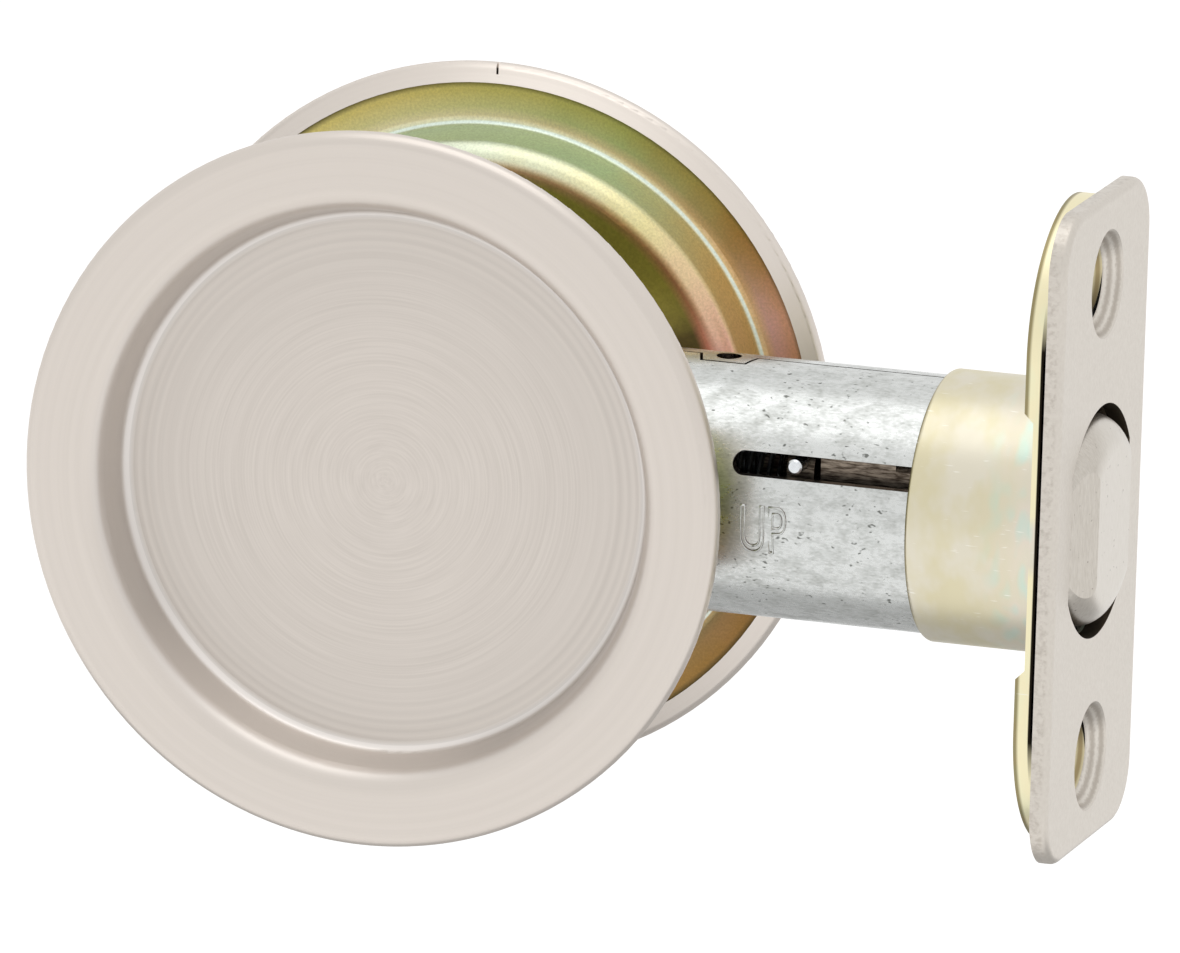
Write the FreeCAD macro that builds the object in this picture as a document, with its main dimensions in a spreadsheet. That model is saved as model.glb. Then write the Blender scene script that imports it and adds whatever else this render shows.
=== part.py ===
import FreeCAD, Part
import math
import os
import Sketcher

# Round pocket door pull: two flush finger cups clamped on either side of a tubular edge-pull latch.
# The origin is the middle of the flange's back, which seats in the mortise in the door's edge.
# +X points out of the door's edge, the door's middle plane is Y = 0 and +Z is up.
# The front cup faces -Y and the rear cup faces +Y.

DIMENSIONS = {
    # Cups: drawn covers crimped over drawn liners
    "backset": 60.0,
    "rose_od": 62.4,
    "cup_bore": 48.9,
    "cup_depth": 4.7,
    "wall_draft": 15.0,
    "mouth_round": 2.0,
    "floor_round": 1.0,
    "cover_sheet": 0.45,
    "liner_sheet": 0.6,
    "nest_gap": 0.05,
    "seat_gap": 0.03,
    "lip_width": 1.8,
    "hem_round": 0.5,
    "pry_notch_width": 0.2,
    "pry_notch_depth": 0.5,
    # Clamp screws and posts between the two liners
    "clamp_offset": 15.5,
    "thread_od": 4.0,
    "thread_gap": 0.03,
    "screw_head_od": 7.6,
    "screw_length": 15.5,
    "screw_slot_width": 0.9,
    "screw_slot_depth": 0.8,
    "head_gap": 0.05,
    "shank_gap": 0.2,
    "post_across_flats": 6.0,
    "post_length": 17.0,
    "post_bore_depth": 13.0,
    # Rolled latch tube
    "tube_od": 22.2,
    "tube_wall": 0.9,
    "tube_reach": 9.0,
    "tube_setback": 0.9,
    "seam_gap": 0.2,
    "seam_tab_place": 30.9,
    "seam_tab_length": 4.9,
    "seam_tab_depth": 1.85,
    "seam_tab_slant": 0.6,
    "seam_hole_od": 2.2,
    "seam_hole_place": 33.4,
    "slot_width": 2.0,
    "slot_height": 4.35,
    # Collar with its flange
    "collar_wall": 0.6,
    "collar_gap": 0.02,
    "collar_length": 11.2,
    "collar_edge_round": 0.4,
    "flange_width": 24.0,
    "flange_height": 56.2,
    "flange_sheet": 1.1,
    "flange_relief": 0.4,
    "flange_relief_height": 42.0,
    "flange_relief_floor": 32.0,
    "pad_rise": 0.8,
    "pad_start": 10.8,
    "pad_land": 0.05,
    # Faceplate
    "face_width": 25.4,
    "face_height": 56.6,
    "face_sheet": 1.5,
    "face_corner": 5.0,
    "face_edge_round": 0.7,
    "screw_spacing": 41.275,
    "countersink_od": 9.4,
    "countersink_angle": 82.0,
    "wood_screw_hole": 4.6,
    "window_od": 20.2,
    "window_flats": 17.0,
    # Bolt, guide pin and spring
    "bolt_proud": 1.35,
    "nose_od": 18.4,
    "bolt_flats": 16.2,
    "nose_bevel_rise": 1.65,
    "nose_bevel_flat": 3.5,
    "nose_end_round": 3.0,
    "bolt_run_gap": 0.08,
    "tail_od": 18.0,
    "tail_length": 2.4,
    "neck_od": 10.0,
    "neck_length": 0.6,
    "grip_place": 8.25,
    "grip_radius": 5.0,
    "grip_depth": 1.4,
    "pin_place": 24.2,
    "pin_od": 1.3,
    "pin_length": 20.0,
    "pin_chamfer": 0.15,
    "pin_gap": 0.02,
    "travel_out": 14.0,
    "travel_in": 4.5,
    "travel_gap": 0.25,
    "spigot_od": 6.8,
    "spigot_length": 4.0,
    "spring_od": 9.6,
    "spring_wire": 0.5,
    "spring_pitch": 0.9,
    "spring_gap": 0.05,
    "stop_place": 44.0,
    "stop_length": 2.0,
    "stop_gap": 0.03,
    "leaf_width": 3.0,
    "leaf_sheet": 0.3,
    "leaf_length": 10.0,
    "leaf_place": 8.0,
    "leaf_gap": 0.05,
}

# Working values, each an expression on the sheet
TUBE_RADIUS = "dims.tube_od / 2"
BORE_RADIUS = "(dims.tube_od / 2 - dims.tube_wall)"
ROSE_RADIUS = "dims.rose_od / 2"
WALL_RADIUS = "dims.cup_bore / 2"

# Distances from the door's middle plane out to the layers of one cup
LINER_BACK = f"({TUBE_RADIUS} + dims.seat_gap)"
LINER_FACE = f"({LINER_BACK} + dims.liner_sheet)"
COVER_BACK = f"({LINER_FACE} + dims.nest_gap)"
CUP_FLOOR = f"({COVER_BACK} + dims.cover_sheet)"
RIM_FACE = f"({CUP_FLOOR} + dims.cup_depth)"
RING_BACK = f"({RIM_FACE} - dims.cover_sheet)"
LINER_RING_FACE = f"({RING_BACK} - dims.nest_gap)"
LINER_RING_BACK = f"({LINER_RING_FACE} - dims.liner_sheet)"
LIP_FACE = f"({LINER_RING_BACK} - dims.nest_gap)"
LIP_BACK = f"({LIP_FACE} - dims.cover_sheet)"
HEM_OUT = f"({LIP_BACK} + dims.hem_round)"
RIM_ROUND = f"({RIM_FACE} - {HEM_OUT})"

# Centres of the cup's bends, shared by the cover and the liner nested behind it
MOUTH_BEND = f"({WALL_RADIUS} + dims.mouth_round * cos(dims.wall_draft))"
MOUTH_BEND_OUT = f"({RIM_FACE} - dims.mouth_round)"
FLOOR_BEND_OUT = f"({CUP_FLOOR} + dims.floor_round)"
CUP_BENDS = "(dims.mouth_round + dims.floor_round)"
WALL_HEIGHT = f"({MOUTH_BEND_OUT} - {FLOOR_BEND_OUT} + {CUP_BENDS} * sin(dims.wall_draft))"
WALL_TAPER = f"({WALL_HEIGHT} * tan(dims.wall_draft))"
FLOOR_BEND = f"({WALL_RADIUS} - {WALL_TAPER} - dims.floor_round * cos(dims.wall_draft))"

# The rim's fold: an easy bend from the face to the widest place, then a tight hem back to the flat lip
RIM_BEND = f"({ROSE_RADIUS} - {RIM_ROUND})"
HEM_BEND = f"({ROSE_RADIUS} - dims.hem_round)"
LIP_EDGE = f"({ROSE_RADIUS} - dims.lip_width)"
RING_EDGE = f"({RIM_BEND} - dims.nest_gap)"

# Places along the row's X: the faceplate's front, from which the latch is drawn, and the cups' axis
FACE_FRONT = "(dims.face_sheet + dims.flange_sheet + dims.pad_rise)"
CUP_AXIS = f"({FACE_FRONT} - dims.backset)"

# Places along the latch axis, behind the faceplate's front
FACE_BACK = "(-dims.face_sheet)"
FLANGE_BACK = f"({FACE_BACK} - dims.flange_sheet)"
PIN_X = "(-dims.pin_place)"
SLOT_REAR = f"({PIN_X} - dims.travel_in - dims.pin_od / 2 - dims.travel_gap)"
SLOT_FRONT = f"({PIN_X} + dims.travel_out + dims.pin_od / 2 + dims.travel_gap)"
TAIL_REAR = f"({PIN_X} - dims.tail_length / 2)"
TAIL_FRONT = f"({PIN_X} + dims.tail_length / 2)"
BODY_REAR = f"({TAIL_FRONT} + dims.neck_length)"
BODY_FRONT = f"({FACE_BACK} - dims.travel_out - dims.travel_gap)"
STOP_FACE = "(-dims.stop_place)"
CONE_SLOPE = "tan(dims.countersink_angle / 2)"
CONE_AT_BACK = f"(dims.countersink_od / 2 - dims.face_sheet * {CONE_SLOPE})"

# The length by which a cutting profile passes the faces that it cuts, and how near two places count as one
OVERCUT = 1.0
SAME_PLACE = 1e-4


def make_sheet(doc):
    """Put the driving dimensions into the document's sheet."""
    sheet = doc.addObject("Spreadsheet::Sheet", "dims")
    for row, (alias, size) in enumerate(DIMENSIONS.items(), start=1):
        sheet.set(f"A{row}", alias)
        sheet.set(f"B{row}", str(size))
        sheet.setAlias(f"B{row}", alias)
    doc.recompute()
    return sheet


def make_body(doc, label):
    """Start a body whose label names its file and whose own X starts at the faceplate's front."""
    body = doc.addObject("PartDesign::Body", label)
    body.Label = label
    body.setExpression("Placement.Base.x", FACE_FRONT)
    return body


def plane_of(body, role):
    """Find one of the body's own origin planes."""
    return next(item for item in body.Origin.OriginFeatures if item.Role == role)


def attach(item, body, role, offset=None):
    """Attach a sketch or primitive to an origin plane, with (axis, expression) offsets."""
    item.AttachmentSupport = [(plane_of(body, role), "")]
    item.MapMode = "FlatFace"
    for axis, expression in (offset or {}).items():
        item.setExpression(f"AttachmentOffset.Base.{axis}", expression)


def make_sketch(body, name, role, lift=None):
    """Make a sketch on an origin plane, lifted along the plane's normal."""
    sketch = body.newObject("Sketcher::SketchObject", name)
    attach(sketch, body, role, {"z": lift} if lift else None)
    return sketch


def bind(sketch, constraint, expression):
    """Add a constraint whose value is an expression on the sheet."""
    index = sketch.addConstraint(constraint)
    sketch.setExpression(f"Constraints[{index}]", expression)


def pin_down(sketch, geometry, point, across, up):
    """Fix a point of the sketch at two expressions, or on an axis where one is 0."""
    if across == "0":
        sketch.addConstraint(Sketcher.Constraint("PointOnObject", geometry, point, -2))
    else:
        value = float(sketch.evalExpression(across))
        bind(sketch, Sketcher.Constraint("DistanceX", geometry, point, value), across)
    if up == "0":
        sketch.addConstraint(Sketcher.Constraint("PointOnObject", geometry, point, -1))
    else:
        value = float(sketch.evalExpression(up))
        bind(sketch, Sketcher.Constraint("DistanceY", geometry, point, value), up)


def add_arc(sketch, start, finish, turn, radius):
    """Add an arc of under half a turn, and return it with its ends in the order of travel."""
    chord = finish - start
    left = FreeCAD.Vector(-chord.y, chord.x, 0).normalize()
    rise = math.sqrt(max(radius ** 2 - (chord.Length / 2) ** 2, 0))
    side = 1 if turn == "ccw" else -1
    centre = start + chord * 0.5 + left * (rise * side)
    first, last = (start, finish) if turn == "ccw" else (finish, start)
    begin = math.atan2(first.y - centre.y, first.x - centre.x)
    end = math.atan2(last.y - centre.y, last.x - centre.x)
    circle = Part.Circle(centre, FreeCAD.Vector(0, 0, 1), radius)
    geometry = sketch.addGeometry(Part.ArcOfCircle(circle, begin, end))
    return (geometry, 1, 2) if turn == "ccw" else (geometry, 2, 1)


def draw(sketch, corners):
    """Close a profile through corners: (across, up) starts a line, (across, up, turn, radius) an arc."""
    points = []
    for corner in corners:
        across = float(sketch.evalExpression(corner[0]))
        up = float(sketch.evalExpression(corner[1]))
        points.append(FreeCAD.Vector(across, up, 0))
    edges = []
    for index, corner in enumerate(corners):
        start = points[index]
        finish = points[(index + 1) % len(points)]
        if len(corner) == 2:
            edges.append((sketch.addGeometry(Part.LineSegment(start, finish)), 1, 2))
        else:
            radius = float(sketch.evalExpression(corner[3]))
            edges.append(add_arc(sketch, start, finish, corner[2], radius))
    for index, (geometry, begin, end) in enumerate(edges):
        following, its_begin, _ = edges[(index + 1) % len(edges)]
        sketch.addConstraint(Sketcher.Constraint("Coincident", geometry, end, following, its_begin))
    for (geometry, begin, end), corner in zip(edges, corners):
        pin_down(sketch, geometry, begin, corner[0], corner[1])
        if len(corner) == 4:
            radius = float(sketch.evalExpression(corner[3]))
            bind(sketch, Sketcher.Constraint("Radius", geometry, radius), corner[3])


def draw_circle(sketch, across, up, radius):
    """Add a circle with its centre and radius bound to expressions."""
    centre = FreeCAD.Vector(float(sketch.evalExpression(across)), float(sketch.evalExpression(up)), 0)
    value = float(sketch.evalExpression(radius))
    geometry = sketch.addGeometry(Part.Circle(centre, FreeCAD.Vector(0, 0, 1), value))
    pin_down(sketch, geometry, 3, across, up)
    bind(sketch, Sketcher.Constraint("Radius", geometry, value), radius)


def draw_double_d(sketch, diameter, flats):
    """Draw a circle cut by two upright flats."""
    half = f"({flats} / 2)"
    radius = f"({diameter} / 2)"
    rise = f"(sqrt(({radius}) ^ 2 - ({half}) ^ 2))"
    draw(sketch, [
        (half, f"-{rise}"),
        (half, rise, "ccw", radius),
        (f"-{half}", rise),
        (f"-{half}", f"-{rise}", "ccw", radius),
    ])


def pad(body, sketch, name, length, backwards=False):
    """Pad a sketch by an expression, along its normal or against it."""
    feature = body.newObject("PartDesign::Pad", name)
    feature.Profile = sketch
    feature.setExpression("Length", length)
    feature.Reversed = backwards
    return feature


def pocket(body, sketch, name, depth=None, backwards=False, both_sides=False):
    """Cut a sketch to a depth against its normal, or right through where no depth is given."""
    feature = body.newObject("PartDesign::Pocket", name)
    feature.Profile = sketch
    feature.Reversed = backwards
    feature.Midplane = both_sides
    if depth is None:
        feature.Type = "ThroughAll"
    else:
        feature.setExpression("Length", depth)
    return feature


def revolve(body, kind, sketch, name, axis):
    """Turn a sketch a full turn about one of its own axes, as a Revolution or a Groove."""
    feature = body.newObject(f"PartDesign::{kind}", name)
    feature.Profile = sketch
    feature.ReferenceAxis = (sketch, [axis])
    feature.Angle = 360
    return feature


def cone(body, kind, name, role, offset, radius_near, radius_far, height):
    """Add or cut a cone that runs along an origin plane's normal."""
    feature = body.newObject(f"PartDesign::{kind}", name)
    attach(feature, body, role, offset)
    feature.setExpression("Radius1", radius_near)
    feature.setExpression("Radius2", radius_far)
    feature.setExpression("Height", height)
    return feature


def edges_where(feature, test):
    """Name the edges of a feature's shape that pass a test."""
    return [f"Edge{index}" for index, edge in enumerate(feature.Shape.Edges, 1) if test(edge)]


def lies_at(edge, axis, place):
    """Tell whether an edge lies in the plane at a place along an axis (0, 1 or 2)."""
    box = edge.BoundBox
    low = (box.XMin, box.YMin, box.ZMin)[axis]
    high = (box.XMax, box.YMax, box.ZMax)[axis]
    return abs(low - place) < SAME_PLACE and abs(high - place) < SAME_PLACE


def ease(body, kind, feature, name, edges, size):
    """Round or chamfer the named edges of a feature."""
    result = body.newObject(f"PartDesign::{kind}", name)
    result.Base = (feature, edges)
    result.setExpression("Radius" if kind == "Fillet" else "Size", size)
    return result


def place_cup(body, facing):
    """Put a cup piece on the rose axis, turned to face the front (-Y) or the rear (+Y)."""
    if facing == "front":
        body.Placement.Rotation = FreeCAD.Rotation(FreeCAD.Vector(0, 0, 1), 180)
    body.setExpression("Placement.Base.x", CUP_AXIS)


def wall_at_mouth(bend):
    """Find where the tapered wall runs into a mouth bend of this radius."""
    across = f"({MOUTH_BEND} - {bend} * cos(dims.wall_draft))"
    out = f"({MOUTH_BEND_OUT} + {bend} * sin(dims.wall_draft))"
    return across, out


def wall_at_floor(bend):
    """Find where the tapered wall runs into a floor bend of this radius."""
    across = f"({FLOOR_BEND} + {bend} * cos(dims.wall_draft))"
    out = f"({FLOOR_BEND_OUT} - {bend} * sin(dims.wall_draft))"
    return across, out


def make_cover(doc, facing):
    """Drawn cup cover: floor, tapered wall, flat ring and a rim hemmed back over the liner's edge."""
    body = make_body(doc, f"{facing}_cup_cover")
    sketch = make_sketch(body, f"{facing}_cover_section", "XY_Plane")
    outer_floor_bend = "(dims.floor_round + dims.cover_sheet)"
    inner_mouth_bend = "(dims.mouth_round - dims.cover_sheet)"
    inner_rim_bend = f"({RIM_ROUND} - dims.cover_sheet)"
    inner_hem = "(dims.hem_round - dims.cover_sheet)"
    draw(sketch, [
        ("0", CUP_FLOOR),
        (FLOOR_BEND, CUP_FLOOR, "ccw", "dims.floor_round"),
        wall_at_floor("dims.floor_round"),
        (*wall_at_mouth("dims.mouth_round"), "cw", "dims.mouth_round"),
        (MOUTH_BEND, RIM_FACE),
        (RIM_BEND, RIM_FACE, "cw", RIM_ROUND),
        (ROSE_RADIUS, HEM_OUT, "cw", "dims.hem_round"),
        (HEM_BEND, LIP_BACK),
        (LIP_EDGE, LIP_BACK),
        (LIP_EDGE, LIP_FACE),
        (HEM_BEND, LIP_FACE, "ccw", inner_hem),
        (f"({ROSE_RADIUS} - dims.cover_sheet)", HEM_OUT, "ccw", inner_rim_bend),
        (RIM_BEND, RING_BACK),
        (MOUTH_BEND, RING_BACK, "ccw", inner_mouth_bend),
        wall_at_mouth(inner_mouth_bend),
        (*wall_at_floor(outer_floor_bend), "cw", outer_floor_bend),
        (FLOOR_BEND, COVER_BACK),
        ("0", COVER_BACK),
    ])
    revolve(body, "Revolution", sketch, f"{facing}_cover_drawn", "V_Axis")
    notch = make_sketch(body, f"{facing}_pry_notch_outline", "XY_Plane", ROSE_RADIUS)
    half = "(dims.pry_notch_width / 2)"
    draw(notch, [
        (f"-{half}", f"({LIP_BACK} - dims.cover_sheet)"),
        (half, f"({LIP_BACK} - dims.cover_sheet)"),
        (half, f"({LIP_BACK} + dims.cover_sheet)"),
        (f"-{half}", f"({LIP_BACK} + dims.cover_sheet)"),
    ])
    pocket(body, notch, f"{facing}_pry_notch", f"dims.hem_round + dims.pry_notch_depth")
    place_cup(body, facing)
    return body


def make_liner(doc, facing):
    """Drawn liner: a drum that backs the cup, with a ring held in the cover's folded rim."""
    body = make_body(doc, f"{facing}_liner")
    sketch = make_sketch(body, f"{facing}_liner_section", "XY_Plane")
    floor_inner = "(dims.floor_round + dims.cover_sheet + dims.nest_gap)"
    floor_outer = f"({floor_inner} + dims.liner_sheet)"
    mouth_inner = "(dims.mouth_round - dims.cover_sheet - dims.nest_gap)"
    mouth_outer = f"({mouth_inner} - dims.liner_sheet)"
    draw(sketch, [
        ("0", LINER_FACE),
        (FLOOR_BEND, LINER_FACE, "ccw", floor_inner),
        wall_at_floor(floor_inner),
        (*wall_at_mouth(mouth_inner), "cw", mouth_inner),
        (MOUTH_BEND, LINER_RING_FACE),
        (RING_EDGE, LINER_RING_FACE),
        (RING_EDGE, LINER_RING_BACK),
        (MOUTH_BEND, LINER_RING_BACK, "ccw", mouth_outer),
        wall_at_mouth(mouth_outer),
        (*wall_at_floor(floor_outer), "cw", floor_outer),
        (FLOOR_BEND, LINER_BACK),
        ("0", LINER_BACK),
    ])
    revolve(body, "Revolution", sketch, f"{facing}_liner_drawn", "V_Axis")
    if facing == "front":
        add_screw_dimples(body)
    place_cup(body, facing)
    return body


def add_screw_dimples(body):
    """Press a countersunk dimple into the drum's floor for each clamp screw."""
    seat_mouth = "(dims.screw_head_od / 2 + dims.head_gap)"
    seat_hole = "(dims.thread_od / 2 + dims.shank_gap)"
    seat_depth = f"({seat_mouth} - {seat_hole})"
    skin = "(dims.liner_sheet * sqrt(2))"
    for side, height in (("upper", "dims.clamp_offset"), ("lower", "-dims.clamp_offset")):
        cone(body, "AdditiveCone", f"{side}_dimple", "XZ_Plane", {"y": height, "z": f"-{LINER_BACK}"},
             f"{seat_mouth} - dims.liner_sheet + {skin}", f"{seat_hole} + {skin}",
             f"{seat_depth} - dims.liner_sheet")
        cone(body, "SubtractiveCone", f"{side}_screw_seat", "XZ_Plane", {"y": height, "z": f"-{LINER_FACE}"},
             seat_mouth, seat_hole, seat_depth)


def stand_along_y(item, towards, across, along, up):
    """Turn a primitive's own Z towards +Y or -Y and bind its place."""
    angle = -90 if towards == "+Y" else 90
    item.Placement.Rotation = FreeCAD.Rotation(FreeCAD.Vector(1, 0, 0), angle)
    item.setExpression("Placement.Base.x", across)
    item.setExpression("Placement.Base.y", along)
    item.setExpression("Placement.Base.z", up)


def make_primitive(doc, kind, name, sizes):
    """Make a Part primitive with its sizes bound to expressions."""
    item = doc.addObject(f"Part::{kind}", name)
    for prop, expression in sizes.items():
        item.setExpression(prop, expression)
    return item


def combine(doc, kind, name, base, tool):
    """Join or cut two objects."""
    item = doc.addObject(f"Part::{kind}", name)
    item.Base = base
    item.Tool = tool
    return item


def make_group(doc, label, members):
    """Keep like pieces together as one node of separate solids."""
    group = doc.addObject("Part::Compound", label)
    group.Label = label
    group.Links = members
    return group


def make_posts(doc):
    """Hexagon threaded posts welded to the rear liner, above and below the latch tube."""
    posts = []
    for side, height in (("upper", "dims.clamp_offset"), ("lower", "-dims.clamp_offset")):
        bar = make_primitive(doc, "Prism", f"{side}_post_bar", {
            "Circumradius": "dims.post_across_flats / sqrt(3)",
            "Height": "dims.post_length",
        })
        bar.Polygon = 6
        stand_along_y(bar, "-Y", CUP_AXIS, LINER_BACK, height)
        bore = make_primitive(doc, "Cylinder", f"{side}_post_bore", {
            "Radius": "dims.thread_od / 2 + dims.thread_gap",
            "Height": "dims.post_bore_depth",
        })
        stand_along_y(bore, "+Y", CUP_AXIS, f"{LINER_BACK} - dims.post_length", height)
        posts.append(combine(doc, "Cut", f"{side}_post", bar, bore))
    return make_group(doc, "clamp_posts", posts)


def make_screws(doc):
    """Countersunk slotted machine screws from the front liner into the posts."""
    head_radius = "dims.screw_head_od / 2"
    thread_radius = "dims.thread_od / 2"
    screws = []
    for side, height in (("upper", "dims.clamp_offset"), ("lower", "-dims.clamp_offset")):
        head = make_primitive(doc, "Cone", f"{side}_screw_head", {
            "Radius1": head_radius,
            "Radius2": thread_radius,
            "Height": f"{head_radius} - {thread_radius}",
        })
        stand_along_y(head, "+Y", CUP_AXIS, f"-{LINER_FACE}", height)
        shank = make_primitive(doc, "Cylinder", f"{side}_screw_shank", {
            "Radius": thread_radius,
            "Height": "dims.screw_length",
        })
        stand_along_y(shank, "+Y", CUP_AXIS, f"-{LINER_FACE}", height)
        blank = combine(doc, "Fuse", f"{side}_screw_blank", head, shank)
        slot = make_primitive(doc, "Box", f"{side}_screw_slot", {
            "Length": "dims.screw_head_od",
            "Width": "dims.screw_slot_depth",
            "Height": "dims.screw_slot_width",
        })
        slot.setExpression("Placement.Base.x", f"{CUP_AXIS} - {head_radius}")
        slot.setExpression("Placement.Base.y", f"-{LINER_FACE}")
        slot.setExpression("Placement.Base.z", f"{height} - dims.screw_slot_width / 2")
        screws.append(combine(doc, "Cut", f"{side}_screw", blank, slot))
    return make_group(doc, "clamp_screws", screws)


def make_tube(doc):
    """Rolled sheet tube with a tabbed seam along its top and a guide slot in each side."""
    body = make_body(doc, "latch_tube")
    rear = "(-dims.backset - dims.tube_reach)"
    front = f"({FACE_BACK} - dims.tube_setback)"
    ring = make_sketch(body, "tube_ring", "YZ_Plane", rear)
    draw_circle(ring, "0", "0", TUBE_RADIUS)
    draw_circle(ring, "0", "0", BORE_RADIUS)
    pad(body, ring, "tube_rolled", f"{front} - {rear}")

    slot = make_sketch(body, "guide_slot_outline", "XZ_Plane")
    half = "(dims.slot_width / 2)"
    low = f"(dims.slot_height - {half})"
    high = f"(dims.slot_height + {half})"
    draw(slot, [
        (f"({SLOT_REAR} + {half})", low),
        (f"({SLOT_FRONT} - {half})", low, "ccw", half),
        (SLOT_FRONT, "dims.slot_height", "ccw", half),
        (f"({SLOT_FRONT} - {half})", high),
        (f"({SLOT_REAR} + {half})", high, "ccw", half),
        (SLOT_REAR, "dims.slot_height", "ccw", half),
    ])
    pocket(body, slot, "guide_slots", both_sides=True)

    seam = make_sketch(body, "seam_outline", "XY_Plane")
    gap = "(dims.seam_gap / 2)"
    tab_front = "(-dims.seam_tab_place)"
    tab_rear = "(-dims.seam_tab_place - dims.seam_tab_length)"
    tip_front = f"({tab_front} - dims.seam_tab_slant)"
    tip_rear = f"({tab_rear} + dims.seam_tab_slant)"
    draw(seam, [
        (f"({rear} - {OVERCUT})", gap),
        (f"({rear} - {OVERCUT})", f"-{gap}"),
        (f"({tab_rear} - dims.seam_gap)", f"-{gap}"),
        (f"({tip_rear} - dims.seam_gap)", f"(-dims.seam_tab_depth - {gap})"),
        (f"({tip_front} + dims.seam_gap)", f"(-dims.seam_tab_depth - {gap})"),
        (f"({tab_front} + dims.seam_gap)", f"-{gap}"),
        (f"({front} + {OVERCUT})", f"-{gap}"),
        (f"({front} + {OVERCUT})", gap),
        (tab_front, gap),
        (tip_front, f"(-dims.seam_tab_depth + {gap})"),
        (tip_rear, f"(-dims.seam_tab_depth + {gap})"),
        (tab_rear, gap),
    ])
    pocket(body, seam, "rolled_seam", backwards=True)

    hole = make_sketch(body, "seam_hole_outline", "XY_Plane")
    draw_circle(hole, "-dims.seam_hole_place", "0", "dims.seam_hole_od / 2")
    pocket(body, hole, "seam_hole", backwards=True)
    return body


def make_collar(doc):
    """Drawn collar pressed over the tube's end, with a round-ended flange behind the faceplate."""
    body = make_body(doc, "latch_collar")
    half = "(dims.flange_width / 2)"
    shoulder = f"(dims.flange_height / 2 - {half})"
    top = "(dims.flange_height / 2)"
    flange = make_sketch(body, "flange_outline", "YZ_Plane", FLANGE_BACK)
    draw(flange, [
        (half, f"-{shoulder}"),
        (half, shoulder, "ccw", half),
        ("0", top, "ccw", half),
        (f"-{half}", shoulder),
        (f"-{half}", f"-{shoulder}", "ccw", half),
        ("0", f"-{top}", "ccw", half),
    ])
    pad(body, flange, "flange_plate", "dims.flange_sheet")

    pads = make_sketch(body, "screw_pad_outline", "YZ_Plane", FLANGE_BACK)
    draw(pads, [
        (half, "dims.pad_start"),
        (half, shoulder, "ccw", half),
        ("0", top, "ccw", half),
        (f"-{half}", shoulder),
        (f"-{half}", "dims.pad_start"),
    ])
    draw(pads, [
        (f"-{half}", "-dims.pad_start"),
        (f"-{half}", f"-{shoulder}", "ccw", half),
        ("0", f"-{top}", "ccw", half),
        (half, f"-{shoulder}"),
        (half, "-dims.pad_start"),
    ])
    stepped = pad(body, pads, "screw_pads", "dims.pad_rise", backwards=True)
    doc.recompute()
    step_place = body.evalExpression(f"{FLANGE_BACK} - dims.pad_rise")
    pad_start = body.evalExpression("dims.pad_start")
    starts = edges_where(stepped, lambda edge: lies_at(edge, 0, step_place)
                         and abs(abs(edge.BoundBox.Center.z) - pad_start) < SAME_PLACE)
    ease(body, "Chamfer", stepped, "screw_pad_ramps", starts, "dims.pad_rise - dims.pad_land")

    sleeve = make_sketch(body, "collar_outline", "YZ_Plane", FLANGE_BACK)
    draw_circle(sleeve, "0", "0", f"{TUBE_RADIUS} + dims.collar_gap + dims.collar_wall")
    collar = pad(body, sleeve, "collar_sleeve", "dims.collar_length", backwards=True)
    doc.recompute()
    collar_end = body.evalExpression(f"{FLANGE_BACK} - dims.collar_length")
    rims = edges_where(collar, lambda edge: lies_at(edge, 0, collar_end))
    ease(body, "Fillet", collar, "collar_edge", rims, "dims.collar_edge_round")

    bore = make_sketch(body, "collar_bore_outline", "YZ_Plane", FACE_BACK)
    draw_circle(bore, "0", "0", f"{TUBE_RADIUS} + dims.collar_gap")
    pocket(body, bore, "collar_bore")

    relief = make_sketch(body, "flange_relief_section", "XZ_Plane")
    reach = "(dims.flange_relief_height / 2)"
    floor = "(dims.flange_relief_floor / 2)"
    hollow = f"({FACE_BACK} - dims.flange_relief)"
    draw(relief, [
        (FACE_BACK, f"-{reach}"),
        (FACE_BACK, reach),
        (hollow, floor),
        (hollow, f"-{floor}"),
    ])
    pocket(body, relief, "flange_relief", both_sides=True)
    cut_screw_holes(body, "flange", FACE_BACK, CONE_AT_BACK)
    return body


def cut_screw_holes(body, name, front, mouth):
    """Cut the two wood screw holes and the countersinks that open at a face."""
    holes = make_sketch(body, f"{name}_screw_holes_outline", "YZ_Plane", front)
    for height in ("dims.screw_spacing / 2", "-dims.screw_spacing / 2"):
        draw_circle(holes, "0", height, "dims.wood_screw_hole / 2")
    pocket(body, holes, f"{name}_screw_holes")
    depth = f"({mouth} - dims.wood_screw_hole / 2) / {CONE_SLOPE}"
    for side, height in (("upper", "dims.screw_spacing / 2"), ("lower", "-dims.screw_spacing / 2")):
        cone(body, "SubtractiveCone", f"{name}_{side}_countersink", "YZ_Plane",
             {"y": height, "z": f"{front} - {depth}"}, "dims.wood_screw_hole / 2", mouth, depth)


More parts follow.
